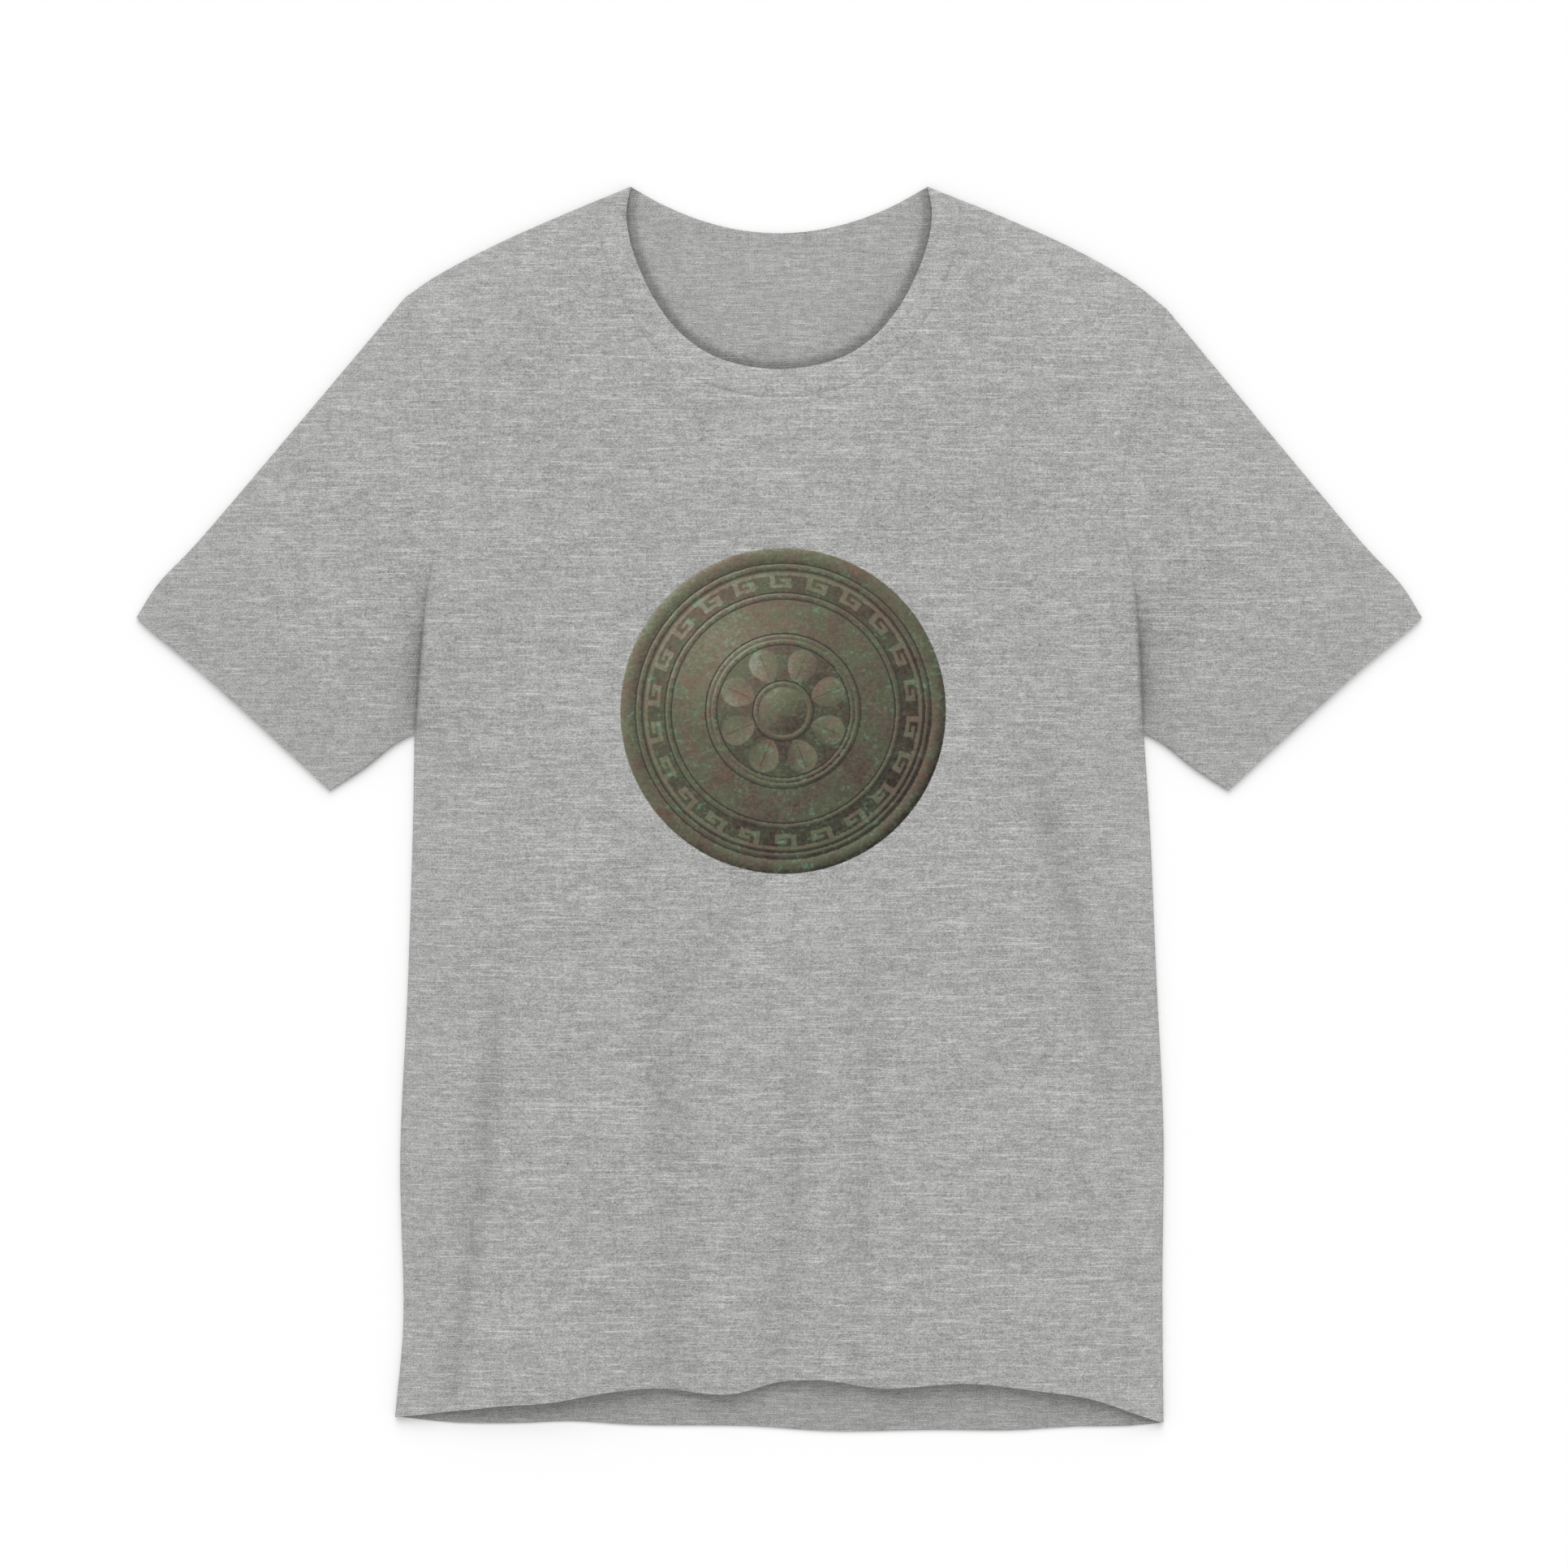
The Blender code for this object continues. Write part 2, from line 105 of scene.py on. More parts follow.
# Folds of the front layer, each a valley. A point is a share of half the chest and of the body length.
# Depth is a share of the cloth's height above its folded edges. The widths are to its two sides, in
# metres. It fades in and out over a share of its length
FOLDS = (
    {"path": ((-0.75, 0.54), (-0.80, 0.76), (-0.89, 0.97)), "depth": 0.58,
     "to_right": 0.0100, "to_left": 0.0055, "fade_in": 0.40, "fade_out": 0.0},
    {"path": ((-0.345, 0.56), (-0.33, 0.76), (-0.305, 0.97)), "depth": 0.46,
     "to_right": 0.0060, "to_left": 0.0240, "fade_in": 0.30, "fade_out": 0.0},
    {"path": ((0.056, 0.66), (0.033, 0.80), (0.0, 0.96)), "depth": 0.46,
     "to_right": 0.0130, "to_left": 0.0090, "fade_in": 0.35, "fade_out": 0.0},
    {"path": ((0.28, 0.58), (0.235, 0.76), (0.22, 0.96)), "depth": 0.40,
     "to_right": 0.0085, "to_left": 0.0095, "fade_in": 0.35, "fade_out": 0.0},
    {"path": ((0.64, 0.40), (0.70, 0.46), (0.78, 0.57), (0.87, 0.655), (0.905, 0.725), (0.95, 0.80)),
     "depth": 0.56, "to_right": 0.0085, "to_left": 0.0085, "fade_in": 0.30, "fade_out": 0.30},
    {"path": ((0.64, 0.78), (0.62, 0.96)), "depth": 0.22,
     "to_right": 0.0120, "to_left": 0.0120, "fade_in": 0.5, "fade_out": 0.0},
    {"path": ((-0.93, 0.24), (-0.84, 0.235)), "depth": 0.14,
     "to_right": 0.0040, "to_left": 0.0040, "fade_in": 0.4, "fade_out": 0.4},
    {"path": ((1.085, 0.115), (1.10, 0.165), (1.12, 0.215)), "depth": 0.26,
     "to_right": 0.0060, "to_left": 0.0050, "fade_in": 0.4, "fade_out": 0.4},
)

# Crease where each sleeve sinks below the body: shares of the armhole's length where it starts and is
# full, its depth as a share of the cloth's height above its folded edges, its widths on the body's side
# and on the sleeve's, the height and width of the body's swell beside it, and the distance from a folded
# edge over which the swell rises
ARMHOLE_CREASE = {"start": 0.58, "full": 0.92, "depth": 0.86, "on_body": 0.0012, "on_sleeve": 0.0078,
                  "swell": 0.0034, "swell_width": 0.014, "swell_rise": 0.006}

# How round the bottom of a fold or a crease is, as a share of its width
VALLEY_ROUND = 0.2

# How the front's neck edge rolls down: how far, and over which width
NECK_ROLL = {"drop": 0.0015, "width": 0.0040}

# Grooves of the seams round the neck band and the armholes
NECK_GROOVE = {"depth": 0.00085, "width": 0.0012}
ARMHOLE_GROOVE = {"depth": 0.00060, "width": 0.0010}

# Painted shade: how much darker the cloth's colour is painted where it hardly sees the light: down in the
# folds, in the armholes' creases, along the back's hem, and under the front's neck edge, where the painted
# shade fades between two distances from the edge
FOLD_SHADE = 0.42
CREASE_SHADE = 0.24
HEM_SHADE = {"depth": 0.15, "reach": 0.036}
NECK_SHADE = {"depth": 0.30, "from": 0.0030, "to": 0.0074}

# Long low waves of the upper layer: wavelength and height in metres, direction and phase in radians
RIPPLES = (
    {"wave": 0.130, "height": 0.00040, "direction": 0.35, "phase": 0.4},
    {"wave": 0.083, "height": 0.00028, "direction": 1.90, "phase": 2.1},
    {"wave": 0.052, "height": 0.00016, "direction": 2.80, "phase": 4.0},
    {"wave": 0.034, "height": 0.00009, "direction": 1.15, "phase": 1.2},
)

# Distances from an edge at which the cloth bends, as shares of the fold's radius
EDGE_STEPS = (0.0, 0.02, 0.08, 0.18, 0.32, 0.50, 0.74, 1.0)

# Spacing of the grids, in metres, and the rows across the neck band
FRONT_STEP = 0.0034
BACK_STEP = 0.0050
SLEEVE_STEP = 0.0028
BAND_STEP = 0.0024
BAND_ROWS = 14

# Steps between two points of a curve, and points of one half of the back's neck edge
CURVE_STEPS = 12
BACK_NECK_POINTS = 6

# Points that are compared with a curve at once
CHUNK = 3000

# Run of the band next to a shoulder, in band widths, over which it swings round from the shoulder's line
BAND_SWING = 1.6

# Points nearer to a fold than this lie on it, and points nearer to each other than this are one
TOUCHING = 0.00002
SAME = 0.000001

# Angle between two faces from which their edge is a wall's rim, and the radius and the segments of an
# open rim's rounding, the radius as a share of the cloth's thickness
RIM_ANGLE = math.radians(50)
RIM_ROUNDING = 0.42
RIM_SEGMENTS = 3

# Middle of a material's noise, and the size in height of its cells, which is larger than a fold is high
NOISE_MIDDLE = 0.5
CELL_HEIGHT = 0.030


def length_property(name, description, default):
    """A length that a user can change."""
    return FloatProperty(name=name, description=description, default=default, min=0.0, precision=4,
                         unit="LENGTH", subtype="DISTANCE")


def angle_property(name, description, degrees):
    """An angle that a user can change."""
    return FloatProperty(name=name, description=description, default=math.radians(degrees),
                         subtype="ANGLE", unit="ROTATION")


def number_property(name, description, default):
    """A plain number above nought."""
    return FloatProperty(name=name, description=description, default=default, min=0.0)


def share_property(name, description, default):
    """A share of something."""
    return FloatProperty(name=name, description=description, default=default, min=0.0, max=2.0,
                         subtype="FACTOR")


def colour_property(name, description, default):
    """A linear colour."""
    return FloatVectorProperty(name=name, description=description, default=default, size=3, min=0.0,
                               max=1.0, subtype="COLOR")


class TshirtCut(bpy.types.PropertyGroup):
    """Sizes of the garment as it lies."""

    body_length: length_property("Body length", "High shoulder point down to the back hem", 2 * NECK_POINT_Y)
    chest_width: length_property("Chest width", "Across the body at the armpits", 0.420)
    shoulder_width: length_property("Shoulder width", "Between the two shoulder points", 0.438)
    shoulder_drop: length_property("Shoulder drop", "Neck point down to the shoulder points", 0.067)
    armpit_drop: length_property("Armpit drop", "Neck point down to the armpits", 0.315)
    armhole_bow: length_property("Armhole bow", "How far an armhole's seam bows inwards", 0.0205)
    front_hem_rise: length_property("Front hem rise", "How far the front hem arches up off the back's", 0.028)
    neck_width: length_property("Neck width", "Between the two neck points", 0.171)
    front_neck_drop: length_property("Front neck drop", "Neck points down to the band in front", 0.106)
    back_neck_drop: length_property("Back neck drop", "Neck points down to the band behind", 0.0267)
    band_width: length_property("Band width", "Width of the rib band round the neck", 0.0165)
    sleeve_reach: length_property("Sleeve reach", "Middle of the body out to a cuff's tip", CUFF_TIP_X)
    sleeve_angle: angle_property("Sleeve angle", "Slope of a sleeve's top edge", 50.1)
    cuff_width: length_property("Cuff width", "Along a flattened cuff", 0.150)
    cuff_angle: angle_property("Cuff angle", "Slope of a cuff's edge", 41.8)
    cuff_corner: length_property("Cuff corner", "How far a sleeve's edge bulges near its cuff", 0.0028)
    cuff_bow: length_property("Cuff bow", "How far a cuff's edge bows inwards", 0.0013)


class TshirtCloth(bpy.types.PropertyGroup):
    """The cloth, and how it lies."""

    jersey_thickness: length_property("Jersey thickness", "Thickness of the cloth", 0.0010)
    rib_thickness: length_property("Rib thickness", "Thickness of the doubled neck band", 0.0018)
    seam_gap: length_property("Seam gap", "Between two pieces at a seam", 0.00005)
    fold_radius: length_property("Fold radius", "Radius of the closed edges", 0.0022)
    loft: length_property("Loft", "How far the air inside lifts the front", 0.0140)
    loft_reach: length_property("Loft reach", "Distance from a folded edge over which it rises", 0.043)
    hem_ease: share_property("Hem ease", "Share of the loft lost at the hem", 0.50)
    neck_ease: share_property("Neck ease", "Share of the loft lost at the neck", 0.44)
    open_edge_reach: length_property("Open edge reach", "How far from an open edge that is felt", 0.045)
    cuff_ease: share_property("Cuff ease", "Share of the loft lost at the cuffs", 0.95)
    cuff_press: share_property("Cuff press", "Share of the folds' radius lost at the cuffs", 0.40)
    cuff_reach: length_property("Cuff reach", "How far from a cuff these two are felt", 0.070)
    hem_depth: length_property("Hem depth", "Width of the turned hems", 0.020)
    heather_dark: colour_property("Heather dark", "The darker fibres", (0.105, 0.106, 0.102))
    heather_light: colour_property("Heather light", "The lighter fibres", (0.602, 0.602, 0.589))


class TshirtPrint(bpy.types.PropertyGroup):
    """The round shield printed on the chest."""

    centre_x: length_property("Centre across", "Middle of the print from the middle of the front", 0.0023)
    centre_y: length_property("Centre up", "Middle of the print along the body", 0.0562)
    diameter: length_property("Diameter", "Across the printed shield", 0.187)
    bronze: colour_property("Bronze", "Bare dark bronze", (0.112, 0.092, 0.066))
    olive: colour_property("Olive", "Brown-green patina", (0.090, 0.094, 0.058))
    rust: colour_property("Rust", "Reddish corrosion", (0.150, 0.088, 0.060))
    verdigris: colour_property("Verdigris", "Green spots of corrosion", (0.100, 0.215, 0.145))
    line: colour_property("Line", "Deep grooves", (0.020, 0.019, 0.017))
    glint: colour_property("Glint", "Soft highlights", (0.300, 0.285, 0.250))


class TshirtStage(bpy.types.PropertyGroup):
    """The table, the light and the camera."""

    floor: colour_property("Floor", "Colour of the table", (0.897, 0.897, 0.897))
    key_strength: number_property("Key strength", "Light from above the neck's side", 1.50)
    key_spread: angle_property("Key spread", "Angle that the key light fills", 50)
    key_tilt: angle_property("Key tilt", "How far the key light leans to the neck's side", 48)
    fill_strength: number_property("Fill strength", "Light from all round", 0.80)
    focal_length: number_property("Focal length", "Camera lens, in millimetres", 85.0)
    frame_width: length_property("Frame width", "Width of the picture on the table", 0.904)
    frame_centre_x: length_property("Frame centre across", "Middle of the picture", 0.0028)
    frame_centre_y: length_property("Frame centre up", "Middle of the picture", 0.0145)


def unit(vectors):
    """The vectors at length one."""
    return vectors / np.linalg.norm(vectors, axis=-1, keepdims=True)


def run_along(points):
    """Length of a chain of straight pieces from its start to each of its points."""
    steps = np.linalg.norm(np.diff(points, axis=0), axis=1)
    return np.concatenate(([0.0], np.cumsum(steps)))


def smooth_step(share):
    """Nought to one with level ends."""
    share = np.clip(share, 0.0, 1.0)
    return share * share * (3 - 2 * share)


class Curve:
    """A smooth plan curve through a few points, read by its share of the length."""

    def __init__(self, points):
        spine = np.array(points, dtype=float)
        if len(spine) > 2:
            spine = self.smoothed(spine)
        self.points = spine
        self.along = run_along(spine)
        self.length = self.along[-1]

    @staticmethod
    def smoothed(spine):
        """A Catmull-Rom curve through the points."""
        padded = np.vstack((2 * spine[0] - spine[1], spine, 2 * spine[-1] - spine[-2]))
        share = np.linspace(0.0, 1.0, CURVE_STEPS, endpoint=False)[:, None]
        spans = []
        for before, start, end, after in zip(padded, padded[1:], padded[2:], padded[3:]):
            spans.append(0.5 * (2 * start + (end - before) * share
                                + (2 * before - 5 * start + 4 * end - after) * share ** 2
                                + (3 * start - before - 3 * end + after) * share ** 3))
        return np.vstack(spans + [spine[-1:]])

    def at(self, shares):
        """Points at shares of the length."""
        reach = np.asarray(shares) * self.length
        return np.stack([np.interp(reach, self.along, self.points[:, axis]) for axis in (0, 1)], axis=1)

    def side_of(self, shares, reach=0.001):
        """Unit vectors to the right of the curve's direction."""
        shares = np.asarray(shares)
        step = reach / self.length
        ahead = self.at(np.minimum(shares + step, 1)) - self.at(np.maximum(shares - step, 0))
        return unit(np.stack((ahead[:, 1], -ahead[:, 0]), axis=1))

    def offsets(self, points):
        """Each point's distance, share of the way along, and side: above nought to the right."""
        found = []
        for part in chunks(points):
            near, share = nearest_on(part, self.points)
            offset = part[:, None] - near
            gap = np.linalg.norm(offset, axis=-1)
            closest = gap.argmin(axis=1)
            rows = np.arange(len(part))
            span = np.diff(self.points, axis=0)[closest]
            away = offset[rows, closest]
            side = np.sign(span[:, 1] * away[:, 0] - span[:, 0] * away[:, 1])
            steps = np.diff(self.along)
            reach = (self.along[closest] + share[rows, closest] * steps[closest]) / self.length
            found.append(np.stack((gap[rows, closest], reach, side), axis=1))
        return np.concatenate(found).T


def chunks(points):
    """The points in groups small enough to compare with every part of a curve at once."""
    return [points[start:start + CHUNK] for start in range(0, len(points), CHUNK)]


def nearest_on(points, path):
    """The nearest place to each point on each straight piece of a chain, and its share of that piece."""
    start = path[:-1]
    span = path[1:] - start
    offset = points[:, None, :] - start[None]
    share = np.clip((offset * span).sum(-1) / (span ** 2).sum(-1), 0, 1)
    return start + share[..., None] * span, share


def distance_to(points, paths):
    """Distance from each plan point to the nearest of several chains of straight pieces."""
    found = []
    for part in chunks(points):
        gaps = [np.linalg.norm(part[:, None] - nearest_on(part, path)[0], axis=-1).min(axis=1)
                for path in paths]
        found.append(np.min(gaps, axis=0))
    return np.concatenate(found)


def into_cloth(points, folds):
    """Unit vectors from the nearest fold into the garment."""
    near = np.concatenate([nearest_on(points, path)[0] for path, side in folds], axis=1)
    spans = np.concatenate([unit(np.diff(path, axis=0)) * -side for path, side in folds])
    normals = np.stack((-spans[:, 1], spans[:, 0]), axis=1)
    offset = points[:, None] - near
    gap = np.linalg.norm(offset, axis=-1)
    closest = gap.argmin(axis=1)
    chosen = offset[np.arange(len(points)), closest]
    touching = gap < TOUCHING
    on_edge = touching.any(axis=1)
    chosen[on_edge] = (touching[on_edge, :, None] * normals[None]).sum(axis=1)
    return unit(chosen)


class Half:
    """The plan curves of one half of the garment."""

    def __init__(self, cut, name):
        row = LAY[name]
        side = row["side"]
        top = cut.body_length / 2
        self.side = side
        self.neck_point = np.array((side * cut.neck_width / 2, top))
        self.shoulder_point = np.array((side * cut.shoulder_width / 2 * row["shoulder_out"],
                                        top - cut.shoulder_drop * row["shoulder_drop"]))
        run = self.shoulder_point - self.neck_point
        bow_up = np.array((0.0, -run[1] * row["shoulder_bow"]))
        self.shoulder = Curve([self.neck_point + run * share + bow_up * bow for share, bow in SHOULDER])
        self.armpit = np.array((side * cut.chest_width / 2, top - cut.armpit_drop))
        drop = self.armpit - self.shoulder_point
        inward = np.array((-side, 0.0))
        self.armhole = Curve([self.shoulder_point + drop * depth + inward * cut.armhole_bow * bow
                              for depth, bow in ARMHOLE])
        out = cut.sleeve_reach - cut.shoulder_width / 2
        self.cuff_top = np.array((side * cut.sleeve_reach,
                                  top - cut.shoulder_drop - out * math.tan(cut.sleeve_angle)))
        cuff_run = np.array((-side * math.cos(cut.cuff_angle), -math.sin(cut.cuff_angle)))
        self.cuff_bottom = self.cuff_top + cut.cuff_width * cuff_run
        self.sleeve_top = self.bowed(self.shoulder_point, self.cuff_top, SLEEVE_TOP, cut.cuff_corner)
        self.cuff = self.bowed(self.cuff_top, self.cuff_bottom, CUFF, cut.cuff_bow)
        self.underarm = self.bowed(self.cuff_bottom, self.armpit, UNDERARM, cut.cuff_bow)
        fall = top - cut.body_length * row["hem_drop"] - self.armpit[1]
        self.side_fold = Curve([(self.armpit[0] * width, self.armpit[1] + fall * down)
                                for down, width in SIDE[name]])

    def bowed(self, start, end, shape, bow):
        """A curve from start to end, set outwards by shares of a bow at shares of the way."""
        run = end - start
        outward = unit(np.array((-run[1], run[0]))) * self.side
        points = [start + run * share + outward * bow * out for share, out in shape]
        return Curve([start] + points + [end])

    def folds(self):
        """The chains of the closed, folded outline on this half, with the half's side."""
        return [(curve.points, self.side)
                for curve in (self.shoulder, self.sleeve_top, self.underarm, self.side_fold)]


class Garment:
    """The plan curves of the whole garment, and how high its layers lie."""

    def __init__(self, cut, cloth):
        self.cut = cut
        self.cloth = cloth
        self.top = cut.body_length / 2
        self.right = Half(cut, "wearers_right")
        self.left = Half(cut, "wearers_left")
        self.folded = self.right.folds() + self.left.folds()
        self.closed = [path for path, side in self.folded]
        self.front_hem = self.hem(True)
        self.back_hem = self.hem(False)
        self.cuffs = [self.right.cuff.points, self.left.cuff.points]
        self.front_neck = self.neck_edge(True)
        shares = steps_along(self.front_neck.length, FRONT_STEP, cloth.fold_radius)
        self.neck_seam = self.band(True, shares)[1]
        size = np.array((cut.chest_width / 2, -cut.body_length))
        self.fold_lines = [Curve(np.array(fold["path"]) * size + (0.0, self.top)) for fold in FOLDS]

    def neck_edge(self, front):
        """The neck opening's edge, from the wearer's right to the left."""
        half = self.cut.neck_width / 2
        if front:
            left = [(half * across, self.top - self.cut.front_neck_drop * down)
                    for down, across in FRONT_NECK]
        else:
            left = [(half * across, self.top - self.cut.back_neck_drop * (1 - across ** 2))
                    for across in np.linspace(1, 0, BACK_NECK_POINTS)]
        right = [(-x, y) for x, y in left[:-1]]
        return Curve(right + left[::-1])

    def band_end(self, half):
        """The place on the shoulder fold where the neck band ends."""
        return half.shoulder.at([self.cut.band_width / half.shoulder.length])[0]

    def band(self, front, shares):
        """Plan points of the neck band's edge and of its seam at the same steps, and the way between."""
        edge = self.neck_edge(front)
        width = self.cut.band_width
        inner = edge.at(shares)
        outward = edge.side_of(shares)
        for half, near in ((self.right, shares), (self.left, 1 - shares)):
            along_shoulder = unit(self.band_end(half) - half.neck_point)
            weight = np.clip(1 - near * edge.length / (width * BAND_SWING), 0, 1)[:, None]
            outward = outward * (1 - weight) + along_shoulder * weight
        outward = unit(outward)
        seam = inner + width * outward
        seam[0] = self.band_end(self.right)
        seam[-1] = self.band_end(self.left)
        return inner, seam, outward

    def hem(self, front):
        """The lower edge of the body from the wearer's right to the left."""
        start = self.right.side_fold.points[-1]
        end = self.left.side_fold.points[-1]
        shape = FRONT_HEM if front else BACK_HEM
        middle = [(start[0] + (end - start)[0] * share, self.cut.front_hem_rise * rise - self.top)
                  for share, rise in shape]
        return Curve([start] + middle + [end])

    def lay(self, plan, on_fold, upper):
        """Heights of a layer's outer face, what turns it into the inner face, and its marks.

        The marks are its painted shade, and how far inside the front's neck edge it is."""
        points = plan.reshape(-1, 2)
        radius = self.radius_at(points)
        inside = np.where(on_fold.ravel(), 0.0, distance_to(points, self.closed))
        sideways = 1 - np.clip(inside / radius, 0, 1)
        upright = np.sqrt(1 - sideways ** 2)
        turn = np.zeros((len(points), 3))
        bent = sideways > 0
        turn[bent, :2] = into_cloth(points[bent], self.folded) * sideways[bent, None]
        if upper:
            height = radius * upright + self.lift(points, np.maximum(inside - radius, 0))
            fold = self.folds_at(points)
            dent = self.dents_at(points)
            height = radius + height * (1 - fold) * (1 - dent) - self.sunk(points) * upright
            turn[:, 2] = -upright
            # Painted shade: the colour is darkened down in the folds and in the armholes' creases
            marks = {"shade": FOLD_SHADE * fold ** 2 + CREASE_SHADE * dent, "in_neck": np.ones(len(points))}
        else:
            height = radius * (1 - upright)
            turn[:, 2] = upright
            gap, along, side = self.front_neck.offsets(points)
            # Painted shade: the colour is darkened along the back's hem, and in_neck sets the painted shadow
            # under the front's neck edge
            near_hem = smooth_step(1 - distance_to(points, [self.back_hem.points]) / HEM_SHADE["reach"])
            marks = {"shade": HEM_SHADE["depth"] * near_hem, "in_neck": -gap * side}
        shape = on_fold.shape
        marks = {mark: values.reshape(shape) for mark, values in marks.items()}
        return height.reshape(shape), turn.reshape(*shape, 3), marks

    def radius_at(self, points):
        """Radius of the closed folds, which lie flatter near the cuffs."""
        near = np.exp(-distance_to(points, self.cuffs) / self.cloth.cuff_reach)
        return self.cloth.fold_radius * (1 - self.cloth.cuff_press * near)

    def lift(self, points, reach):
        """How far the air inside lifts the upper layer above its folded edges."""
        cloth = self.cloth
        lift = cloth.loft * (1 - np.exp(-reach / cloth.loft_reach))
        for ease, reach_in, paths in ((cloth.hem_ease, cloth.open_edge_reach, [self.front_hem.points]),
                                      (cloth.neck_ease, cloth.open_edge_reach, [self.front_neck.points]),
                                      (cloth.cuff_ease, cloth.cuff_reach, self.cuffs)):
            lift = lift * (1 - ease * np.exp(-distance_to(points, paths) / reach_in))
        waves = sum(ripple["height"] * np.sin(2 * math.pi / ripple["wave"]
                                              * (points[:, 0] * math.cos(ripple["direction"])
                                                 + points[:, 1] * math.sin(ripple["direction"]))
                                              + ripple["phase"]) for ripple in RIPPLES)
        rise = smooth_step(reach / ARMHOLE_CREASE["swell_rise"])
        return lift + waves * np.abs(lift) / cloth.loft + self.swells(points) * rise

    def creases(self, points):
        """For each armhole: the points' distance to it, how full its crease is, and which are on the body."""
        start = ARMHOLE_CREASE["start"]
        for half in (self.right, self.left):
            gap, along, side = half.armhole.offsets(points)
            full = smooth_step((along - start) / (ARMHOLE_CREASE["full"] - start))
            yield gap, full, side * half.side > 0

    def swells(self, points):
        """How far the body's side of each armhole's crease stands up."""
        return sum(ARMHOLE_CREASE["swell"] * np.exp(-gap / ARMHOLE_CREASE["swell_width"]) * on_body * full
                   for gap, full, on_body in self.creases(points))

    def sunk(self, points):
        """How far the front sinks along the neck's rolled edge and the seams."""
        gap = distance_to(points, [self.front_neck.points])
        roll = NECK_ROLL["drop"] * np.clip(1 - gap / NECK_ROLL["width"], 0, 1) ** 2
        for groove, paths in ((NECK_GROOVE, [self.neck_seam]),
                              (ARMHOLE_GROOVE, [self.right.armhole.points, self.left.armhole.points])):
            roll = roll + groove["depth"] * np.exp(-(distance_to(points, paths) / groove["width"]) ** 2)
        return roll

    def folds_at(self, points):
        """How far the folds pull the upper layer down: nought to one."""
        whole = np.ones(len(points))
        for fold, line in zip(FOLDS, self.fold_lines):
            gap, along, side = line.offsets(points)
            width = np.where(side > 0, fold["to_right"], fold["to_left"])
            whole = whole * (1 - fold["depth"] * valley(gap, width) * faded(along, fold))
        return 1 - whole

    def dents_at(self, points):
        """How far the armholes' creases pull the upper layer down: nought to one."""
        whole = np.ones(len(points))
        for gap, full, on_body in self.creases(points):
            width = np.where(on_body, ARMHOLE_CREASE["on_body"], ARMHOLE_CREASE["on_sleeve"])
            whole = whole * (1 - ARMHOLE_CREASE["depth"] * full * valley(gap, width))
        return 1 - whole


def valley(gap, width):
    """The cross-section of a fold: a sharp bottom between sides that level out."""
    return np.exp(VALLEY_ROUND - np.sqrt((gap / width) ** 2 + VALLEY_ROUND ** 2))


def faded(along, fold):
    """How much of a fold is left near the ends of its line."""
    start = smooth_step(along / fold["fade_in"]) if fold["fade_in"] else 1.0
    end = smooth_step((1 - along) / fold["fade_out"]) if fold["fade_out"] else 1.0
    return start * end


def steps_along(length, step, radius):
    """Shares of a length, a step apart and closer together next to its two ends."""
    near = np.array(EDGE_STEPS) * radius / length
    middle = max(2, round((length - 2 * radius) / step))
    between = np.linspace(near[-1], 1 - near[-1], middle + 1)[1:-1]
    return np.concatenate((near, between, 1 - near[::-1]))


def shares_along(points):
    """Share of the whole length at each point of an edge."""
    along = run_along(points)
    return along / along[-1]


def grid_distance(grid, path):
    """Distance from each point of a grid to a chain of straight pieces."""
    return distance_to(grid.reshape(-1, 2), [path]).reshape(grid.shape[:2])


def coons(bottom, top, left, right):
    """Plan points of a grid between four edges, as an array of rows and columns."""
    across = ((shares_along(bottom) + shares_along(top)) / 2)[None, :, None]
    up = ((shares_along(left) + shares_along(right)) / 2)[:, None, None]
    ruled_up = bottom[None] * (1 - up) + top[None] * up
    ruled_across = left[:, None] * (1 - across) + right[:, None] * across
    corners = ((bottom[0] * (1 - across) + bottom[-1] * across) * (1 - up)
               + (top[0] * (1 - across) + top[-1] * across) * up)
    return ruled_up + ruled_across - corners


def panel_rows(garment, step):
    """Shares up a body panel's edge that both halves use: side fold, armhole, then shoulder fold."""
    half = garment.right
    radius = garment.cloth.fold_radius
    side = steps_along(half.side_fold.length, step, radius)[::-1][:-1]
    hole = steps_along(half.armhole.length, step, radius)[::-1]
    shoulder = steps_along(half.shoulder.length, step, radius)[1:]
    return side, hole, shoulder


def panel_edge(garment, half, rows):
    """Points up the edge of a body panel, the insets of its seam, and which of them lie on a fold."""
    side_shares, hole_shares, shoulder_shares = rows
    side = half.side_fold.at(side_shares)
    hole = half.armhole.at(hole_shares)
    inset = half.armhole.side_of(hole_shares) * half.side * garment.cloth.seam_gap / 2
    band_end = garment.cut.band_width / half.shoulder.length
    shoulder = half.shoulder.at(1 - shoulder_shares * (1 - band_end))
    on_fold = np.array([True] * (len(side) + 1) + [False] * (len(hole) - 2) + [True] * (len(shoulder) + 1))
    insets = np.vstack((np.zeros_like(side), inset, np.zeros_like(shoulder)))
    return np.vstack((side, hole, shoulder)), insets, on_fold


def placed(name, data):
    """A new object in the scene."""
    made = bpy.data.objects.new(name, data)
    bpy.context.scene.collection.objects.link(made)
    return made


def piece_of(name, mesh):
    """A new object from a finished mesh."""
    data = bpy.data.meshes.new(name)
    mesh.to_mesh(data)
    mesh.free()
    return placed(name, data)


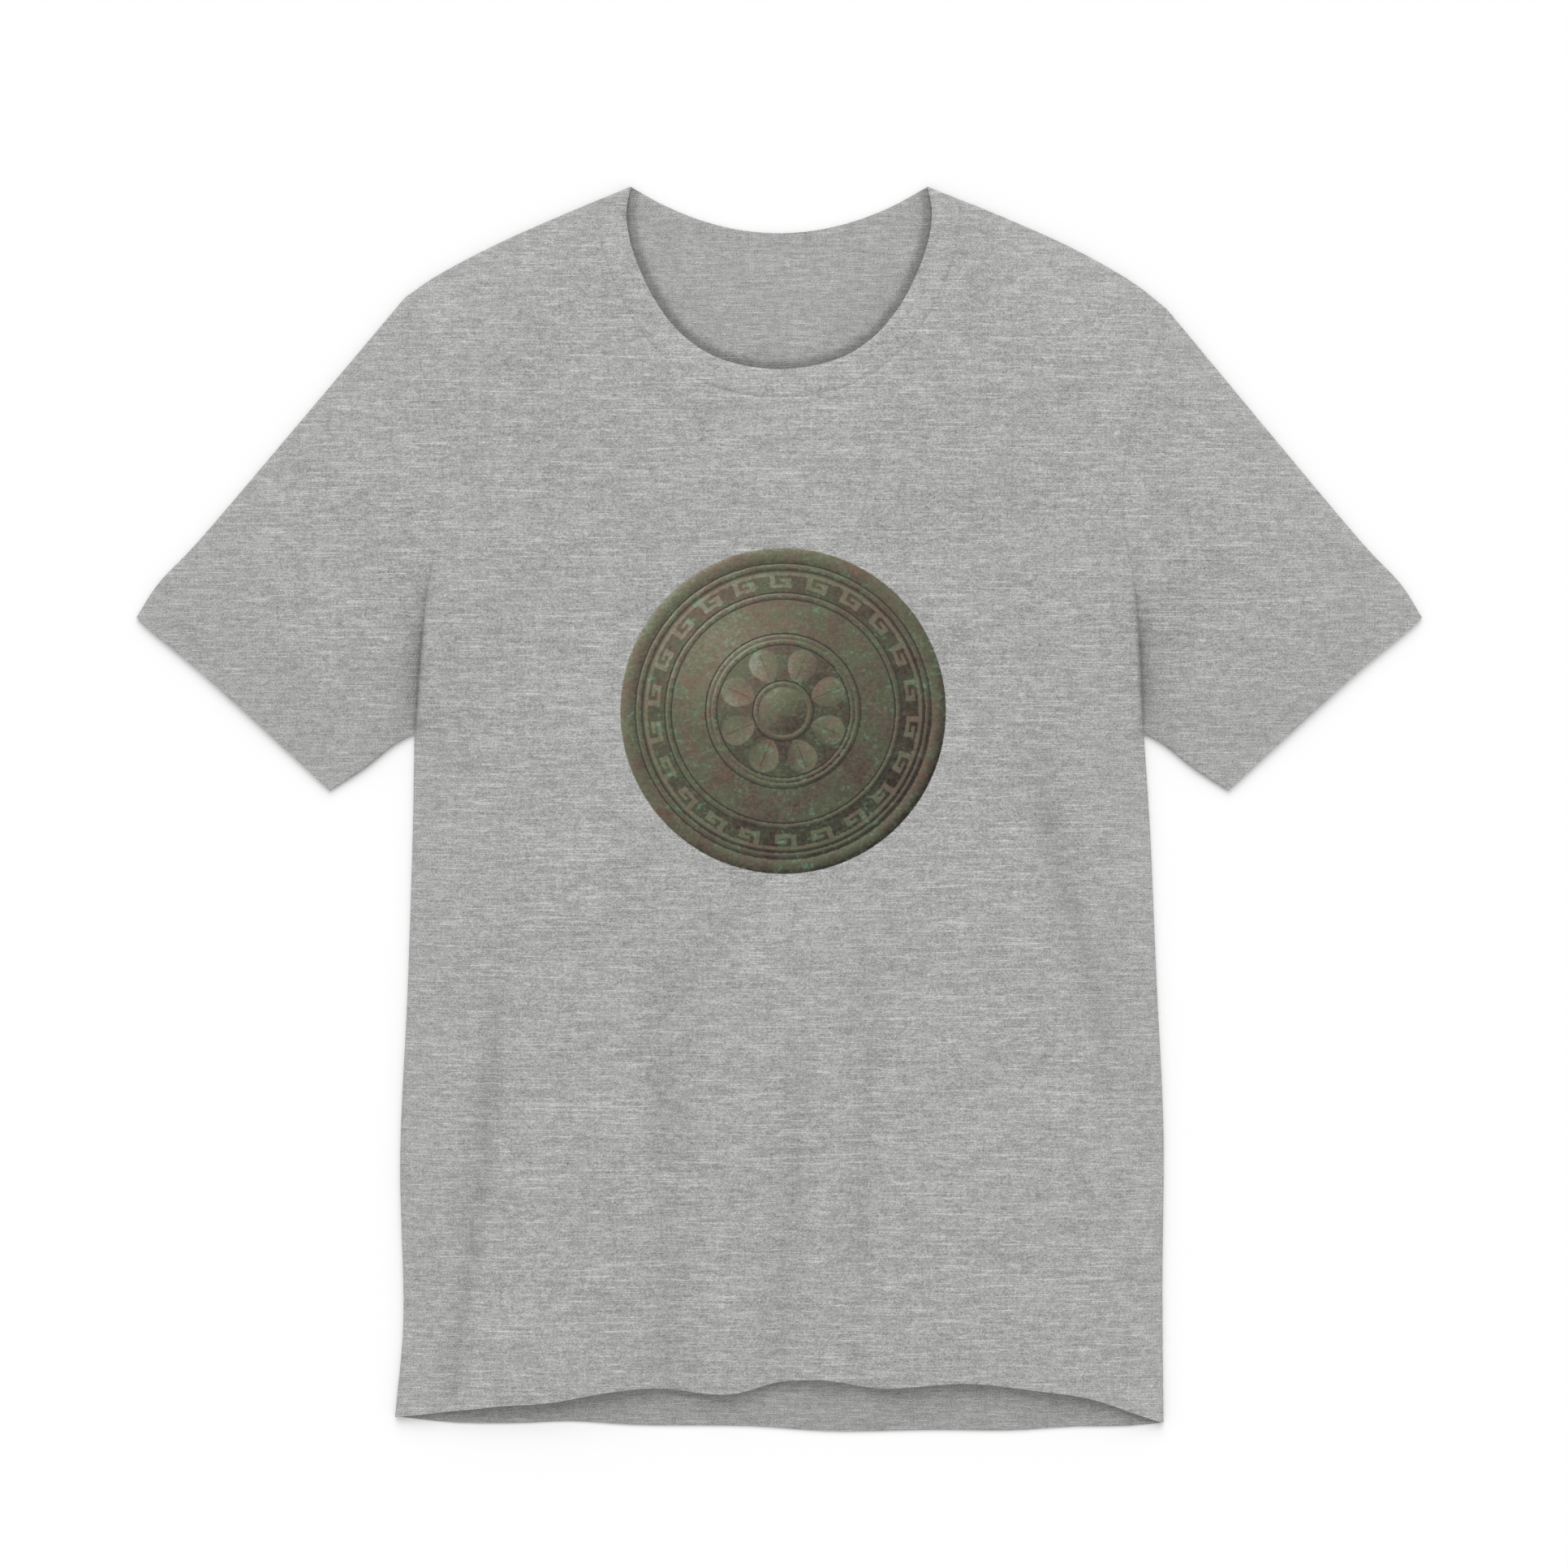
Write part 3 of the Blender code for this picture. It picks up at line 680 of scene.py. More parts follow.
def marked_grid(points, marks):
    """A grid mesh through these points, whose vertices carry their row, their column and the marks."""
    rows, columns = points.shape[:2]
    mesh = bmesh.new()
    bmesh.ops.create_grid(mesh, x_segments=columns - 1, y_segments=rows - 1, size=0.5)
    for kept, kind in [("row", "int"), ("column", "int")] + [(mark, "float") for mark in marks]:
        getattr(mesh.verts.layers, kind).new(kept)
    row_of, column_of = place_layers(mesh)
    layers = {mark: mesh.verts.layers.float[mark] for mark in marks}
    for vertex in mesh.verts:
        column = round((vertex.co.x + 0.5) * (columns - 1))
        row = round((vertex.co.y + 0.5) * (rows - 1))
        vertex[column_of] = column
        vertex[row_of] = row
        vertex.co = points[row, column]
        for mark, layer in layers.items():
            vertex[layer] = marks[mark][row, column]
    return mesh


def place_layers(mesh):
    """The layers that hold each vertex's row and column."""
    return mesh.verts.layers.int["row"], mesh.verts.layers.int["column"]


def round_rim(mesh, open_row, radius):
    """Round a wall's rim along its open row, and keep its other rims, which are seams, sharp."""
    row_of, column_of = place_layers(mesh)
    rim = []
    for edge in mesh.edges:
        if edge.calc_face_angle(0.0) > RIM_ANGLE:
            if all(vertex[row_of] == open_row for vertex in edge.verts):
                rim.append(edge)
            else:
                edge.smooth = False
    bmesh.ops.bevel(mesh, geom=rim, offset=radius, offset_type="OFFSET", segments=RIM_SEGMENTS,
                    profile=0.5, affect="EDGES", clamp_overlap=True, material=-1)


def wall(name, plan, laid, thickness, marks, open_row, closed=False):
    """A wall of cloth from a grid of plan points, its heights and inward turn, and marks to carry along."""
    height, turn, laid_marks = laid
    outer = np.dstack((plan, height))
    inner = outer + turn * thickness[:, None, None]
    mesh = marked_grid(outer, {**marks, **laid_marks})
    row_of, column_of = place_layers(mesh)
    if closed:
        bmesh.ops.remove_doubles(mesh, verts=mesh.verts, dist=SAME)
    walled = bmesh.ops.extrude_face_region(mesh, geom=mesh.faces[:], use_keep_orig=True)
    for vertex in walled["geom"]:
        if isinstance(vertex, bmesh.types.BMVert):
            vertex.co = inner[vertex[row_of], vertex[column_of]]
    bmesh.ops.recalc_face_normals(mesh, faces=mesh.faces)
    for face in mesh.faces:
        face.smooth = True
    round_rim(mesh, open_row, thickness[open_row] * RIM_ROUNDING)
    return piece_of(name, mesh)


def body_panel(garment, name, front, step):
    """The front or the back of the body, from the hem to the shoulders and the neck band's seam."""
    gap = garment.cloth.seam_gap / 2
    rows = panel_rows(garment, step)
    left, left_inset, left_fold = panel_edge(garment, garment.right, rows)
    right, right_inset, right_fold = panel_edge(garment, garment.left, rows)
    edge = garment.neck_edge(front)
    shares = steps_along(edge.length, step, garment.cloth.fold_radius)
    inner, top, outward = garment.band(front, shares)
    left_inset[-1] = outward[0] * gap
    right_inset[-1] = outward[-1] * gap
    hem = garment.front_hem if front else garment.back_hem
    bottom = hem.at(shares_along(top))
    on_fold = np.zeros((len(left), len(top)), bool)
    on_fold[:, 0] = left_fold
    on_fold[:, -1] = right_fold
    nominal = coons(bottom, top, left, right)
    height, turn, laid_marks = garment.lay(nominal, on_fold, upper=front)
    height += np.where(on_fold, gap if front else -gap, 0.0)
    plan = coons(bottom, top + outward * gap, left + left_inset, right + right_inset)
    along = np.broadcast_to(shares_along(bottom) * hem.length, height.shape)
    thickness = np.full(len(height), garment.cloth.jersey_thickness)
    marks = {"along": along, "from_hem": grid_distance(nominal, hem.points)}
    return wall(name, plan, (height, turn, laid_marks), thickness, marks, 0)


def tube(garment, name, plans, nominals, thickness, marks, open_row):
    """A closed wall whose upper and lower layers meet in a fold at both ends of their rows."""
    upper_nominal, lower_nominal = nominals
    upper = garment.lay(upper_nominal, row_ends(upper_nominal), upper=True)
    lower = garment.lay(lower_nominal, row_ends(lower_nominal), upper=False)
    back = slice(-2, None, -1)
    height, turn, plan = [np.concatenate((one, other[:, back]), axis=1)
                          for one, other in ((upper[0], lower[0]), (upper[1], lower[1]), plans)]
    pairs = {**marks, **{mark: (upper[2][mark], lower[2][mark]) for mark in upper[2]}}
    marks = {mark: np.concatenate((one, other[:, back]), axis=1) for mark, (one, other) in pairs.items()}
    return wall(name, plan, (height, turn, {}), thickness, marks, open_row, closed=True)


def row_ends(grid):
    """A mark on the first and last point of each row."""
    ends = np.zeros(grid.shape[:2], bool)
    ends[:, [0, -1]] = True
    return ends


def sleeve(garment, name, half):
    """A flattened sleeve, open at the armhole and the cuff."""
    cloth = garment.cloth
    shares = steps_along(half.armhole.length, SLEEVE_STEP, cloth.fold_radius)
    hole = half.armhole.at(shares)
    outset = half.armhole.side_of(shares) * -half.side * cloth.seam_gap / 2
    cuff = half.cuff.at(shares)
    along = steps_along(half.sleeve_top.length, SLEEVE_STEP, cloth.fold_radius)
    top_edge = half.sleeve_top.at(along)
    underarm = half.underarm.at(1 - along)
    nominal = coons(hole, cuff, top_edge, underarm)
    top_edge[0] += outset[0]
    underarm[0] += outset[-1]
    plan = coons(hole + outset, cuff, top_edge, underarm)
    from_cuff = grid_distance(nominal, half.cuff.points)
    round_cuff = np.broadcast_to(shares * half.cuff.length, from_cuff.shape)
    marks = {"along": (round_cuff, 2 * half.cuff.length - round_cuff), "from_hem": (from_cuff, from_cuff)}
    thickness = np.full(len(plan), cloth.jersey_thickness)
    return tube(garment, name, (plan, plan), (nominal, nominal), thickness, marks, len(plan) - 1)


def neck_band(garment, name):
    """The folded rib ring round the neck, its front on the upper layer and its back on the lower."""
    layers = []
    alongs = []
    across = []
    steps = np.linspace(0, 1, BAND_ROWS)
    for front in (True, False):
        edge = garment.neck_edge(front)
        shares = steps_along(edge.length, BAND_STEP, garment.cloth.fold_radius)
        inner, seam, outward = garment.band(front, shares)
        end = seam - outward * garment.cloth.seam_gap / 2
        layers.append(inner[None] + (end - inner)[None] * steps[:, None, None])
        shape = (len(steps), len(shares))
        run = shares * edge.length if front else -shares * edge.length
        alongs.append(np.broadcast_to(run, shape))
        across.append(np.broadcast_to(steps[:, None] * garment.cut.band_width, shape))
    thin = garment.cloth.jersey_thickness
    thickness = thin + (garment.cloth.rib_thickness - thin) * (1 - smooth_step(steps))
    return tube(garment, name, layers, layers, thickness,
                {"along": tuple(alongs), "from_hem": tuple(across)}, 0)


def maths_of_one(operation):
    """A method that puts a socket through a Math node."""
    def method(self):
        return self.math(operation, self)

    return method


def maths_of_two(operation):
    """An operator's method on a socket and another value, and its reflected form."""
    def method(self, other):
        return self.math(operation, self, other)

    def reflected(self, other):
        return self.math(operation, other, self)

    return method, reflected


class Socket:
    """An output of a material's nodes, with Python's operators for its maths."""

    __add__, __radd__ = maths_of_two("ADD")
    __sub__, __rsub__ = maths_of_two("SUBTRACT")
    __mul__, __rmul__ = maths_of_two("MULTIPLY")
    __truediv__, __rtruediv__ = maths_of_two("DIVIDE")
    __pow__, __rpow__ = maths_of_two("POWER")

    # Without its sign, sine and cosine of radians, and what is left above the whole number below
    abs = maths_of_one("ABSOLUTE")
    sine = maths_of_one("SINE")
    cosine = maths_of_one("COSINE")
    fraction = maths_of_one("FRACT")

    def __init__(self, paint, output):
        self.paint = paint
        self.output = output

    def math(self, operation, *values):
        """A Math node on these values."""
        return self.paint.node("Math", {"operation": operation}, dict(enumerate(values)))

    def clamped(self, low=0.0, high=1.0):
        """Held between two values."""
        return self.paint.node("Clamp", {}, {"Value": self, "Min": low, "Max": high})

    def ramp(self, start, end):
        """Nought at start, one at end, smooth between."""
        settings = {"interpolation_type": "SMOOTHSTEP", "clamp": True}
        return self.paint.node("MapRange", settings, {"Value": self, "From Min": start, "From Max": end,
                                                      "To Min": 0.0, "To Max": 1.0})

    def peak(self, centre, width):
        """One at the centre, nought from a width away."""
        return 1 - ((self - centre).abs() / width).ramp(0.0, 1.0)

    def within(self, low, high, soft):
        """One between low and high, with edges as soft as given."""
        return self.ramp(low - soft, low + soft) * (1 - self.ramp(high - soft, high + soft))


class Paint:
    """A material and its nodes."""

    def __init__(self, name):
        self.material = bpy.data.materials.new(name)
        self.material.use_nodes = True
        self.tree = self.material.node_tree
        self.shader = self.tree.nodes["Principled BSDF"]

    def node(self, kind, settings, inputs, output=0):
        """One new node of a kind, set and linked, as the socket that it gives out."""
        made = self.tree.nodes.new("ShaderNode" + kind)
        for setting, value in settings.items():
            setattr(made, setting, value)
        for socket, value in inputs.items():
            self.link(made.inputs[socket], value)
        return Socket(self, made.outputs[output])

    def link(self, socket, value):
        """A link or a plain value for an input."""
        if isinstance(value, Socket):
            self.tree.links.new(value.output, socket)
        elif hasattr(value, "__len__") and len(value) == 3 and socket.type == "RGBA":
            socket.default_value = (*value, 1.0)
        else:
            socket.default_value = value

    def mix(self, factor, first, second, blend="MIX"):
        """A colour between two."""
        made = self.tree.nodes.new("ShaderNodeMix")
        made.data_type = "RGBA"
        made.blend_type = blend
        made.clamp_factor = True
        for name, value in (("Factor_Float", factor), ("A_Color", first), ("B_Color", second)):
            self.link(next(item for item in made.inputs if item.identifier == name), value)
        return Socket(self, next(item for item in made.outputs if item.identifier == "Result_Color"))

    def shaded(self, colour, level):
        """A colour times a level."""
        grey = self.node("CombineColor", {}, {0: level, 1: level, 2: level})
        return self.mix(1.0, colour, grey, blend="MULTIPLY")

    def place(self):
        """Object coordinates."""
        return self.node("TexCoord", {}, {}, "Object")

    def axes(self, vector):
        """The three parts of a vector."""
        made = self.tree.nodes.new("ShaderNodeSeparateXYZ")
        self.tree.links.new(vector.output, made.inputs[0])
        return [Socket(self, output) for output in made.outputs]

    def mark(self, name):
        """A number that the mesh carries."""
        return self.node("Attribute", {"attribute_name": name}, {}, "Fac")

    def noise(self, vector, layer):
        """Cloudy noise about nought, with cells of the layer's size in metres across and along the body."""
        cell = (*layer["cell"], CELL_HEIGHT)
        scaled = self.node("Mapping", {}, {"Vector": vector, "Scale": [1 / side for side in cell]})
        cloud = self.node("TexNoise", {"noise_dimensions": "3D"},
                          {"Vector": scaled, "Scale": 1.0, "Detail": layer["detail"],
                           "Roughness": layer["rough"], "Distortion": layer["warp"]}, "Fac")
        return cloud - NOISE_MIDDLE

    def finish(self, colour, roughness, height):
        """Link the surface."""
        bump = self.node("Bump", {}, {"Strength": 1.0, "Distance": RELIEF, "Height": height}, "Normal")
        self.link(self.shader.inputs["Base Color"], colour)
        self.link(self.shader.inputs["Roughness"], roughness)
        self.link(self.shader.inputs["Normal"], bump)
        for socket, value in CLOTH_GLOSS.items():
            self.shader.inputs[socket].default_value = value
        return self.material


# Layers of the heather: size of the cells across the body and along it, in metres, and how strongly the
# tone swings between them
HEATHER = (
    {"cell": (0.00086, 0.00058), "strength": 1.30},
    {"cell": (0.00360, 0.00120), "strength": 0.27},
    {"cell": (0.03600, 0.00090), "strength": 0.29},
    {"cell": (0.00120, 0.01400), "strength": 0.18},
    {"cell": (0.03000, 0.02000), "strength": 0.13},
)
HEATHER_NOISE = {"detail": 2.0, "rough": 0.55, "warp": 0.0}

# How much further the light fibres' tone swings than the dark ones' does
HEATHER_SKEW = 0.09

# Ragged patches of darker and lighter fibres: size of the cells, and the tone's step between them
PATCHES = {"cell": (0.00620, 0.00300), "detail": 5.0, "rough": 0.70, "warp": 0.2, "edge": 0.085,
           "strength": 0.125}

# Single light yarns along the courses: size of the cells, the noise that starts and fills them, their
# strength, and the share of the cloth that they take up
YARNS = {"cell": (0.02000, 0.00062), "from": 0.03, "to": 0.18, "strength": 0.25, "share": 0.12}

# Knit loops: spacing of the wales, of the courses and of the band's ribs in metres, how far a loop's two
# sides slant, and how high the wales and the courses stand as shares of a loop's relief
WALE = 0.00074
COURSE = 0.00056
RIB = 0.0016
LOOP_SLANT = 0.9
LOOP_HEIGHT = {"wale": 0.6, "course": 0.2}

# The two rows of stitches at a hem: half the width of a row, the rows' and the stitches' spacing in metres,
# where a stitch ends as shares of its spacing, and how much of a row's dent is left between two stitches
STITCH = {"half_width": 0.0007, "rows": 0.0055, "length": 0.0031, "from": 0.20, "to": 0.34,
          "between": 0.35}

# Height of the cloth's relief in metres, and the shares of it that the loops, the band's ribs, the
# fibres and the stitches take
RELIEF = 0.00010
RELIEF_SHARE = {"loops": 0.5, "ribs": 0.35, "fibres": 0.7, "stitches": 0.9}

# Gloss of the cloth, its roughness, how much smoother the print is, and how much of the cloth's tone
# shows through the print
CLOTH_GLOSS = {"Specular IOR Level": 0.20, "Sheen Weight": 0.06, "Sheen Roughness": 0.5}
MATT = 0.92
PRINT_SMOOTHER = 0.20
PRINT_GRAIN = 0.30


def heather(paint, cloth):
    """The mixed fibres' colour with painted shade laid over it, and their tone about nought."""
    place = paint.place()
    tone = sum(paint.noise(place, {**HEATHER_NOISE, **layer}) * layer["strength"] for layer in HEATHER)
    patch = paint.noise(place, PATCHES).ramp(-PATCHES["edge"], PATCHES["edge"]) - 0.5
    yarn = paint.noise(place, {**HEATHER_NOISE, **YARNS}).ramp(YARNS["from"], YARNS["to"]) - YARNS["share"]
    tone = patch * PATCHES["strength"] + yarn * YARNS["strength"] + tone
    tone = tone + tone.abs() * HEATHER_SKEW
    colour = paint.mix((tone + 0.5).clamped(), cloth.heather_dark, cloth.heather_light)
    # Painted shade: a band of painted shadow under the front's neck edge, and the marked painted shade of the
    # folds, creases and hem, darken the colour
    painted_neck_shade = 1 - paint.mark("in_neck").abs().ramp(NECK_SHADE["from"], NECK_SHADE["to"])
    return paint.shaded(colour, 1 - paint.mark("shade") - painted_neck_shade * NECK_SHADE["depth"]), tone


def knit(paint):
    """Height of the jersey's V-shaped loops, from nought to one."""
    x, y, z = paint.axes(paint.place())
    wale = (x / WALE).fraction() - 0.5
    course = (y / COURSE + wale.abs() * (2 * LOOP_SLANT)) * (2 * math.pi)
    return (1 - wale.abs() * 2) * LOOP_HEIGHT["wale"] + (course.sine() + 1) * LOOP_HEIGHT["course"]


def stitched(paint, depth):
    """Dents of the two rows of stitches that hold a hem, from nought to one."""
    from_hem = paint.mark("from_hem")
    rows = (from_hem.peak(depth, STITCH["half_width"])
            + from_hem.peak(depth - STITCH["rows"], STITCH["half_width"]))
    offset = ((paint.mark("along") / STITCH["length"]).fraction() - 0.5).abs()
    dent = STITCH["between"] + (1 - STITCH["between"]) * offset.ramp(STITCH["from"], STITCH["to"])
    return rows.clamped() * dent


def jersey_relief(paint, cloth, tone):
    """Height of the loops, the fibres and the hems' stitches."""
    stitches = stitched(paint, cloth.hem_depth) * RELIEF_SHARE["stitches"]
    return knit(paint) * RELIEF_SHARE["loops"] + tone * RELIEF_SHARE["fibres"] - stitches


def jersey(cloth, name):
    """Heather-grey jersey with twin-needled hems."""
    paint = Paint(name)
    colour, tone = heather(paint, cloth)
    return paint.finish(colour, MATT, jersey_relief(paint, cloth, tone))


def rib(cloth, name):
    """Heather-grey rib knit: fine ribs across the neck band."""
    paint = Paint(name)
    colour, tone = heather(paint, cloth)
    ribs = (paint.mark("along") * (2 * math.pi / RIB)).sine()
    return paint.finish(colour, MATT, ribs * RELIEF_SHARE["ribs"] + tone * RELIEF_SHARE["fibres"])


# Clouds of the shield's patina, and the edge over which the blotches turn bronze into olive
PATINA = {
    "blotch": {"cell": (0.016, 0.013), "detail": 4.0, "rough": 0.6, "warp": 0.6, "edge": 1 / 12},
    "grain": {"cell": (0.0021, 0.0018), "detail": 3.0, "rough": 0.6, "warp": 0.3},
    "spots": {"cell": (0.0058, 0.0052), "detail": 4.0, "rough": 0.65, "warp": 0.5},
}

# Side that the shield's light comes from: the upper left
LIT_FROM = math.radians(128)

# How much each part changes the shield's tone
SHIELD_TONE = {"rings": 0.62, "dome": 0.45, "leaves": 0.70, "keys": 0.95, "bowl": 0.30, "blotch": 0.90,
               "grain": 0.95, "glow": 0.45}

# Middle and reach of a soft glow on the shield, as shares of its radius
GLOW = {"across": -0.34, "up": 0.38, "reach": 0.55}

# How much the grain frays the rings and the shield's edge, and where the print ends
FRAY = {"rings": 0.014, "edge": 0.006}
PRINT_EDGE = (0.992, 1.0)

# How far the tone lightens and darkens the metal and the verdigris, with the least and the most level
METAL_LEVEL = {"swing": 1.15, "least": 0.14, "most": 2.2}
GREEN_LEVEL = {"swing": 0.45, "least": 0.4, "most": 1.6}

# Where rust, glints and verdigris begin and are full in their clouds, how much of the colour they take,
# and how the blotches and the grain change where they lie
RUST = {"from": 0.06, "to": 0.22, "share": 0.70, "blotch": -0.6}
GLINTS = {"from": 0.45, "to": 1.15, "share": 0.75}
BLOOM = {"from": 0.10, "to": 0.20, "share": 0.80, "grain": 0.9, "level": 0.35, "blotch": 3.0}
GROOVE_SHARE = 0.85

# How far up the cloth has to face for the print to begin and to be full
PRINT_FACING = (0.0, 0.3)


def shield(paint, design):
    """The printed shield's colour, and where it covers the cloth."""
    place = paint.place()
    x, y, z = paint.axes(place)
    radius = design.diameter / 2
    across = (x - design.centre_x) / radius
    up = (y - design.centre_y) / radius
    reach = (across * across + up * up) ** 0.5
    turn = up.math("ARCTAN2", up, across)
    blotch = paint.noise(place, PATINA["blotch"])
    grain = paint.noise(place, PATINA["grain"])
    spots = paint.noise(place, PATINA["spots"])
    edge = reach + grain * FRAY["rings"]
    facing = (turn - LIT_FROM).cosine()
    from_glow = ((across - GLOW["across"]) ** 2.0 + (up - GLOW["up"]) ** 2.0) ** 0.5
    parts = {"rings": rings(edge) * facing, "dome": dome(reach) * facing, "leaves": leaves(turn, edge),
             "keys": key_border(turn, edge), "bowl": facing * reach, "blotch": blotch, "grain": grain,
             "glow": (1 - from_glow / GLOW["reach"]).clamped()}
    light = sum(tone * SHIELD_TONE[part] for part, tone in parts.items())
    blend = PATINA["blotch"]["edge"]
    colour = paint.mix(blotch.ramp(-blend, blend), design.bronze, design.olive)
    rust = (spots + blotch * RUST["blotch"]).ramp(RUST["from"], RUST["to"])
    colour = paint.mix(rust * RUST["share"], colour, design.rust)
    colour = paint.shaded(colour, level(light, METAL_LEVEL))
    colour = paint.mix(light.ramp(GLINTS["from"], GLINTS["to"]) * GLINTS["share"], colour, design.glint)
    bloom = (spots + grain * BLOOM["grain"]).ramp(BLOOM["from"], BLOOM["to"])
    bloom = bloom * (BLOOM["level"] + blotch * BLOOM["blotch"]).clamped()
    green = paint.shaded(design.verdigris, level(light, GREEN_LEVEL))
    colour = paint.mix(bloom * BLOOM["share"], colour, green)
    colour = paint.mix(groove(edge).clamped() * GROOVE_SHARE, colour, design.line)
    return colour, 1 - (reach + grain * FRAY["edge"]).ramp(*PRINT_EDGE)


def level(light, limits):
    """How much lighter or darker a tone makes a colour."""
    return (1.0 + light * limits["swing"]).clamped(limits["least"], limits["most"])


# Raised rings of the shield, as shares of its radius: middle and half width. Their slope ends between
# two shares of the half width
RINGS = ((0.955, 0.045), (0.885, 0.014), (0.705, 0.014), (0.455, 0.013), (0.425, 0.013), (0.165, 0.016))
RING_EDGE = (0.85, 1.15)

# Fine dark grooves beside the rings, and their half width
GROOVES = (0.905, 0.865, 0.725, 0.685, 0.474, 0.406, 0.186)
GROOVE_WIDTH = 0.009


def rings(reach):
    """Slope of the raised rings, above nought on their outer sides."""
    offsets = [(reach - middle) / half_width for middle, half_width in RINGS]
    return sum(offset.clamped(-1.0, 1.0) * (1 - offset.abs().ramp(*RING_EDGE)) for offset in offsets)


def groove(reach):
    """Where the fine dark grooves run."""
    return sum(reach.peak(middle, GROOVE_WIDTH) for middle in GROOVES)


# The boss, which ends over a stretch, and the gentle bowl round it, as shares of the shield's radius
BOSS = {"radius": 0.15, "edge": (0.13, 0.16)}
BOWL = {"foot": 0.45, "slope": 0.5, "band": (0.47, 0.69, 0.02)}


def dome(reach):
    """Slope of the shield's boss and of its gentle bowl."""
    boss = (reach / BOSS["radius"]) * (1 - reach.ramp(*BOSS["edge"]))
    bowl = (reach - BOWL["foot"]) * BOWL["slope"] * reach.within(*BOWL["band"])
    return boss + bowl


# Ring of leaves round the boss, as shares of the shield's radius: middle and half length of a leaf, and
# the inner and outer edge of the ring and of the veins, with how soft they are. The half widths of a leaf
# and of its vein, and how soft a leaf's outline is, are shares of its sector
LEAVES = {"count": 8, "middle": 0.295, "half_length": 0.105, "half_width": 0.40, "soft": 0.05,
          "vein": 0.035, "ring": (0.19, 0.40, 0.01), "veins": (0.20, 0.37, 0.01)}

# Tone of the leaves, of their two sides, of their veins and of the ground between them
LEAF_TONE = {"leaf": 0.30, "sides": 0.9, "vein": 0.5, "ground": 0.35}


def leaves(turn, reach):
    """Tone of a ring of leaves round the boss."""
    sector = (turn * (LEAVES["count"] / (2 * math.pi))).fraction() - 0.5
    middle = (reach - LEAVES["middle"]) / LEAVES["half_length"]
    body = (1 - middle * middle).clamped() ** 0.5 * LEAVES["half_width"]
    inside = (body - sector.abs()).ramp(0.0, LEAVES["soft"])
    vein = sector.peak(0.0, LEAVES["vein"]) * reach.within(*LEAVES["veins"])
    leaf = inside * (LEAF_TONE["leaf"] + sector * LEAF_TONE["sides"] - vein * LEAF_TONE["vein"])
    ground = (1 - inside) * reach.within(*LEAVES["ring"])
    return leaf - ground * LEAF_TONE["ground"]


# One key of the border in a cell that is seven units long and five high: left, right, bottom and top
# of each stroke
KEY_STROKES = (
    (0.0, 6.0, 4.0, 5.0),
    (5.0, 6.0, 1.0, 5.0),
    (2.0, 6.0, 0.6, 1.6),
    (2.0, 3.0, 0.6, 3.2),
    (2.0, 4.2, 2.3, 3.2),
    (6.0, 7.0, 4.0, 5.0),
)
KEYS = 22
KEY_CELL = (7.0, 5.0)

# The border's inner and outer edge as shares of the shield's radius, its bare margin, how soft its edges
# are, and the tone of its strokes above that of its ground
KEY_BAND = (0.742, 0.850)
KEY_MARGIN = 0.012
KEY_SOFT = {"stroke": 0.14, "band": 0.004}
KEY_TONE = {"stroke": 0.62, "ground": -0.30}


def key_border(turn, reach):
    """Tone of a running key pattern between two rings."""
    low, high = KEY_BAND
    along = (turn * (KEYS / (2 * math.pi))).fraction() * KEY_CELL[0]
    up = (reach - low) * (KEY_CELL[1] / (high - low))
    soft = KEY_SOFT["stroke"]
    strokes = sum(along.within(left, right, soft) * up.within(bottom, top, soft)
                  for left, right, bottom, top in KEY_STROKES)
    band = reach.within(low - KEY_MARGIN, high + KEY_MARGIN, KEY_SOFT["band"])
    return (strokes.clamped() * KEY_TONE["stroke"] + KEY_TONE["ground"]) * band


def printed_jersey(cloth, design, name):
    """The front's jersey with the shield printed on its outer face."""
    paint = Paint(name)
    colour, tone = heather(paint, cloth)
    ink, covered = shield(paint, design)
    x, y, z = paint.axes(paint.node("NewGeometry", {}, {}, "Normal"))
    covered = covered * z.ramp(*PRINT_FACING)
    colour = paint.mix(covered, colour, paint.shaded(ink, 1 + tone * PRINT_GRAIN))
    return paint.finish(colour, MATT - covered * PRINT_SMOOTHER, jersey_relief(paint, cloth, tone))


def dress(piece, material, node):
    """Give a piece its cloth, hang it from the root body, and hide the node that it stands in for."""
    piece.data.materials.append(material)
    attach(piece, "root")
    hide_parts(node)


def garment_of(context):
    """The garment at the sizes that are set."""
    scene = context.scene
    return Garment(scene.tshirt_cut, scene.tshirt_cloth)


class TSHIRT_OT_back_panel(bpy.types.Operator):
    """Build the back of the body, flat on the table"""

    bl_idname = "tshirt.back_panel"
    bl_label = "Back panel"

    def execute(self, context):
        cloth = context.scene.tshirt_cloth
        piece = body_panel(garment_of(context), "back_jersey", False, BACK_STEP)
        dress(piece, jersey(cloth, "back_jersey_cloth"), "back_panel")
        return {"FINISHED"}


class TSHIRT_OT_front_panel(bpy.types.Operator):
    """Build the front of the body with its chest print"""

    bl_idname = "tshirt.front_panel"
    bl_label = "Front panel"

    def execute(self, context):
        scene = context.scene
        piece = body_panel(garment_of(context), "front_jersey", True, FRONT_STEP)
        cloth = printed_jersey(scene.tshirt_cloth, scene.tshirt_print, "front_jersey_cloth")
        dress(piece, cloth, "front_panel")
        return {"FINISHED"}


class TSHIRT_OT_sleeves(bpy.types.Operator):
    """Build the two flattened sleeves"""

    bl_idname = "tshirt.sleeves"
    bl_label = "Sleeves"

    def execute(self, context):
        garment = garment_of(context)
        cloth = jersey(context.scene.tshirt_cloth, "sleeve_jersey_cloth")
        for name, half in (("left_sleeve", garment.left), ("right_sleeve", garment.right)):
            piece = sleeve(garment, name + "_jersey", half)
            dress(piece, cloth, name)
        return {"FINISHED"}


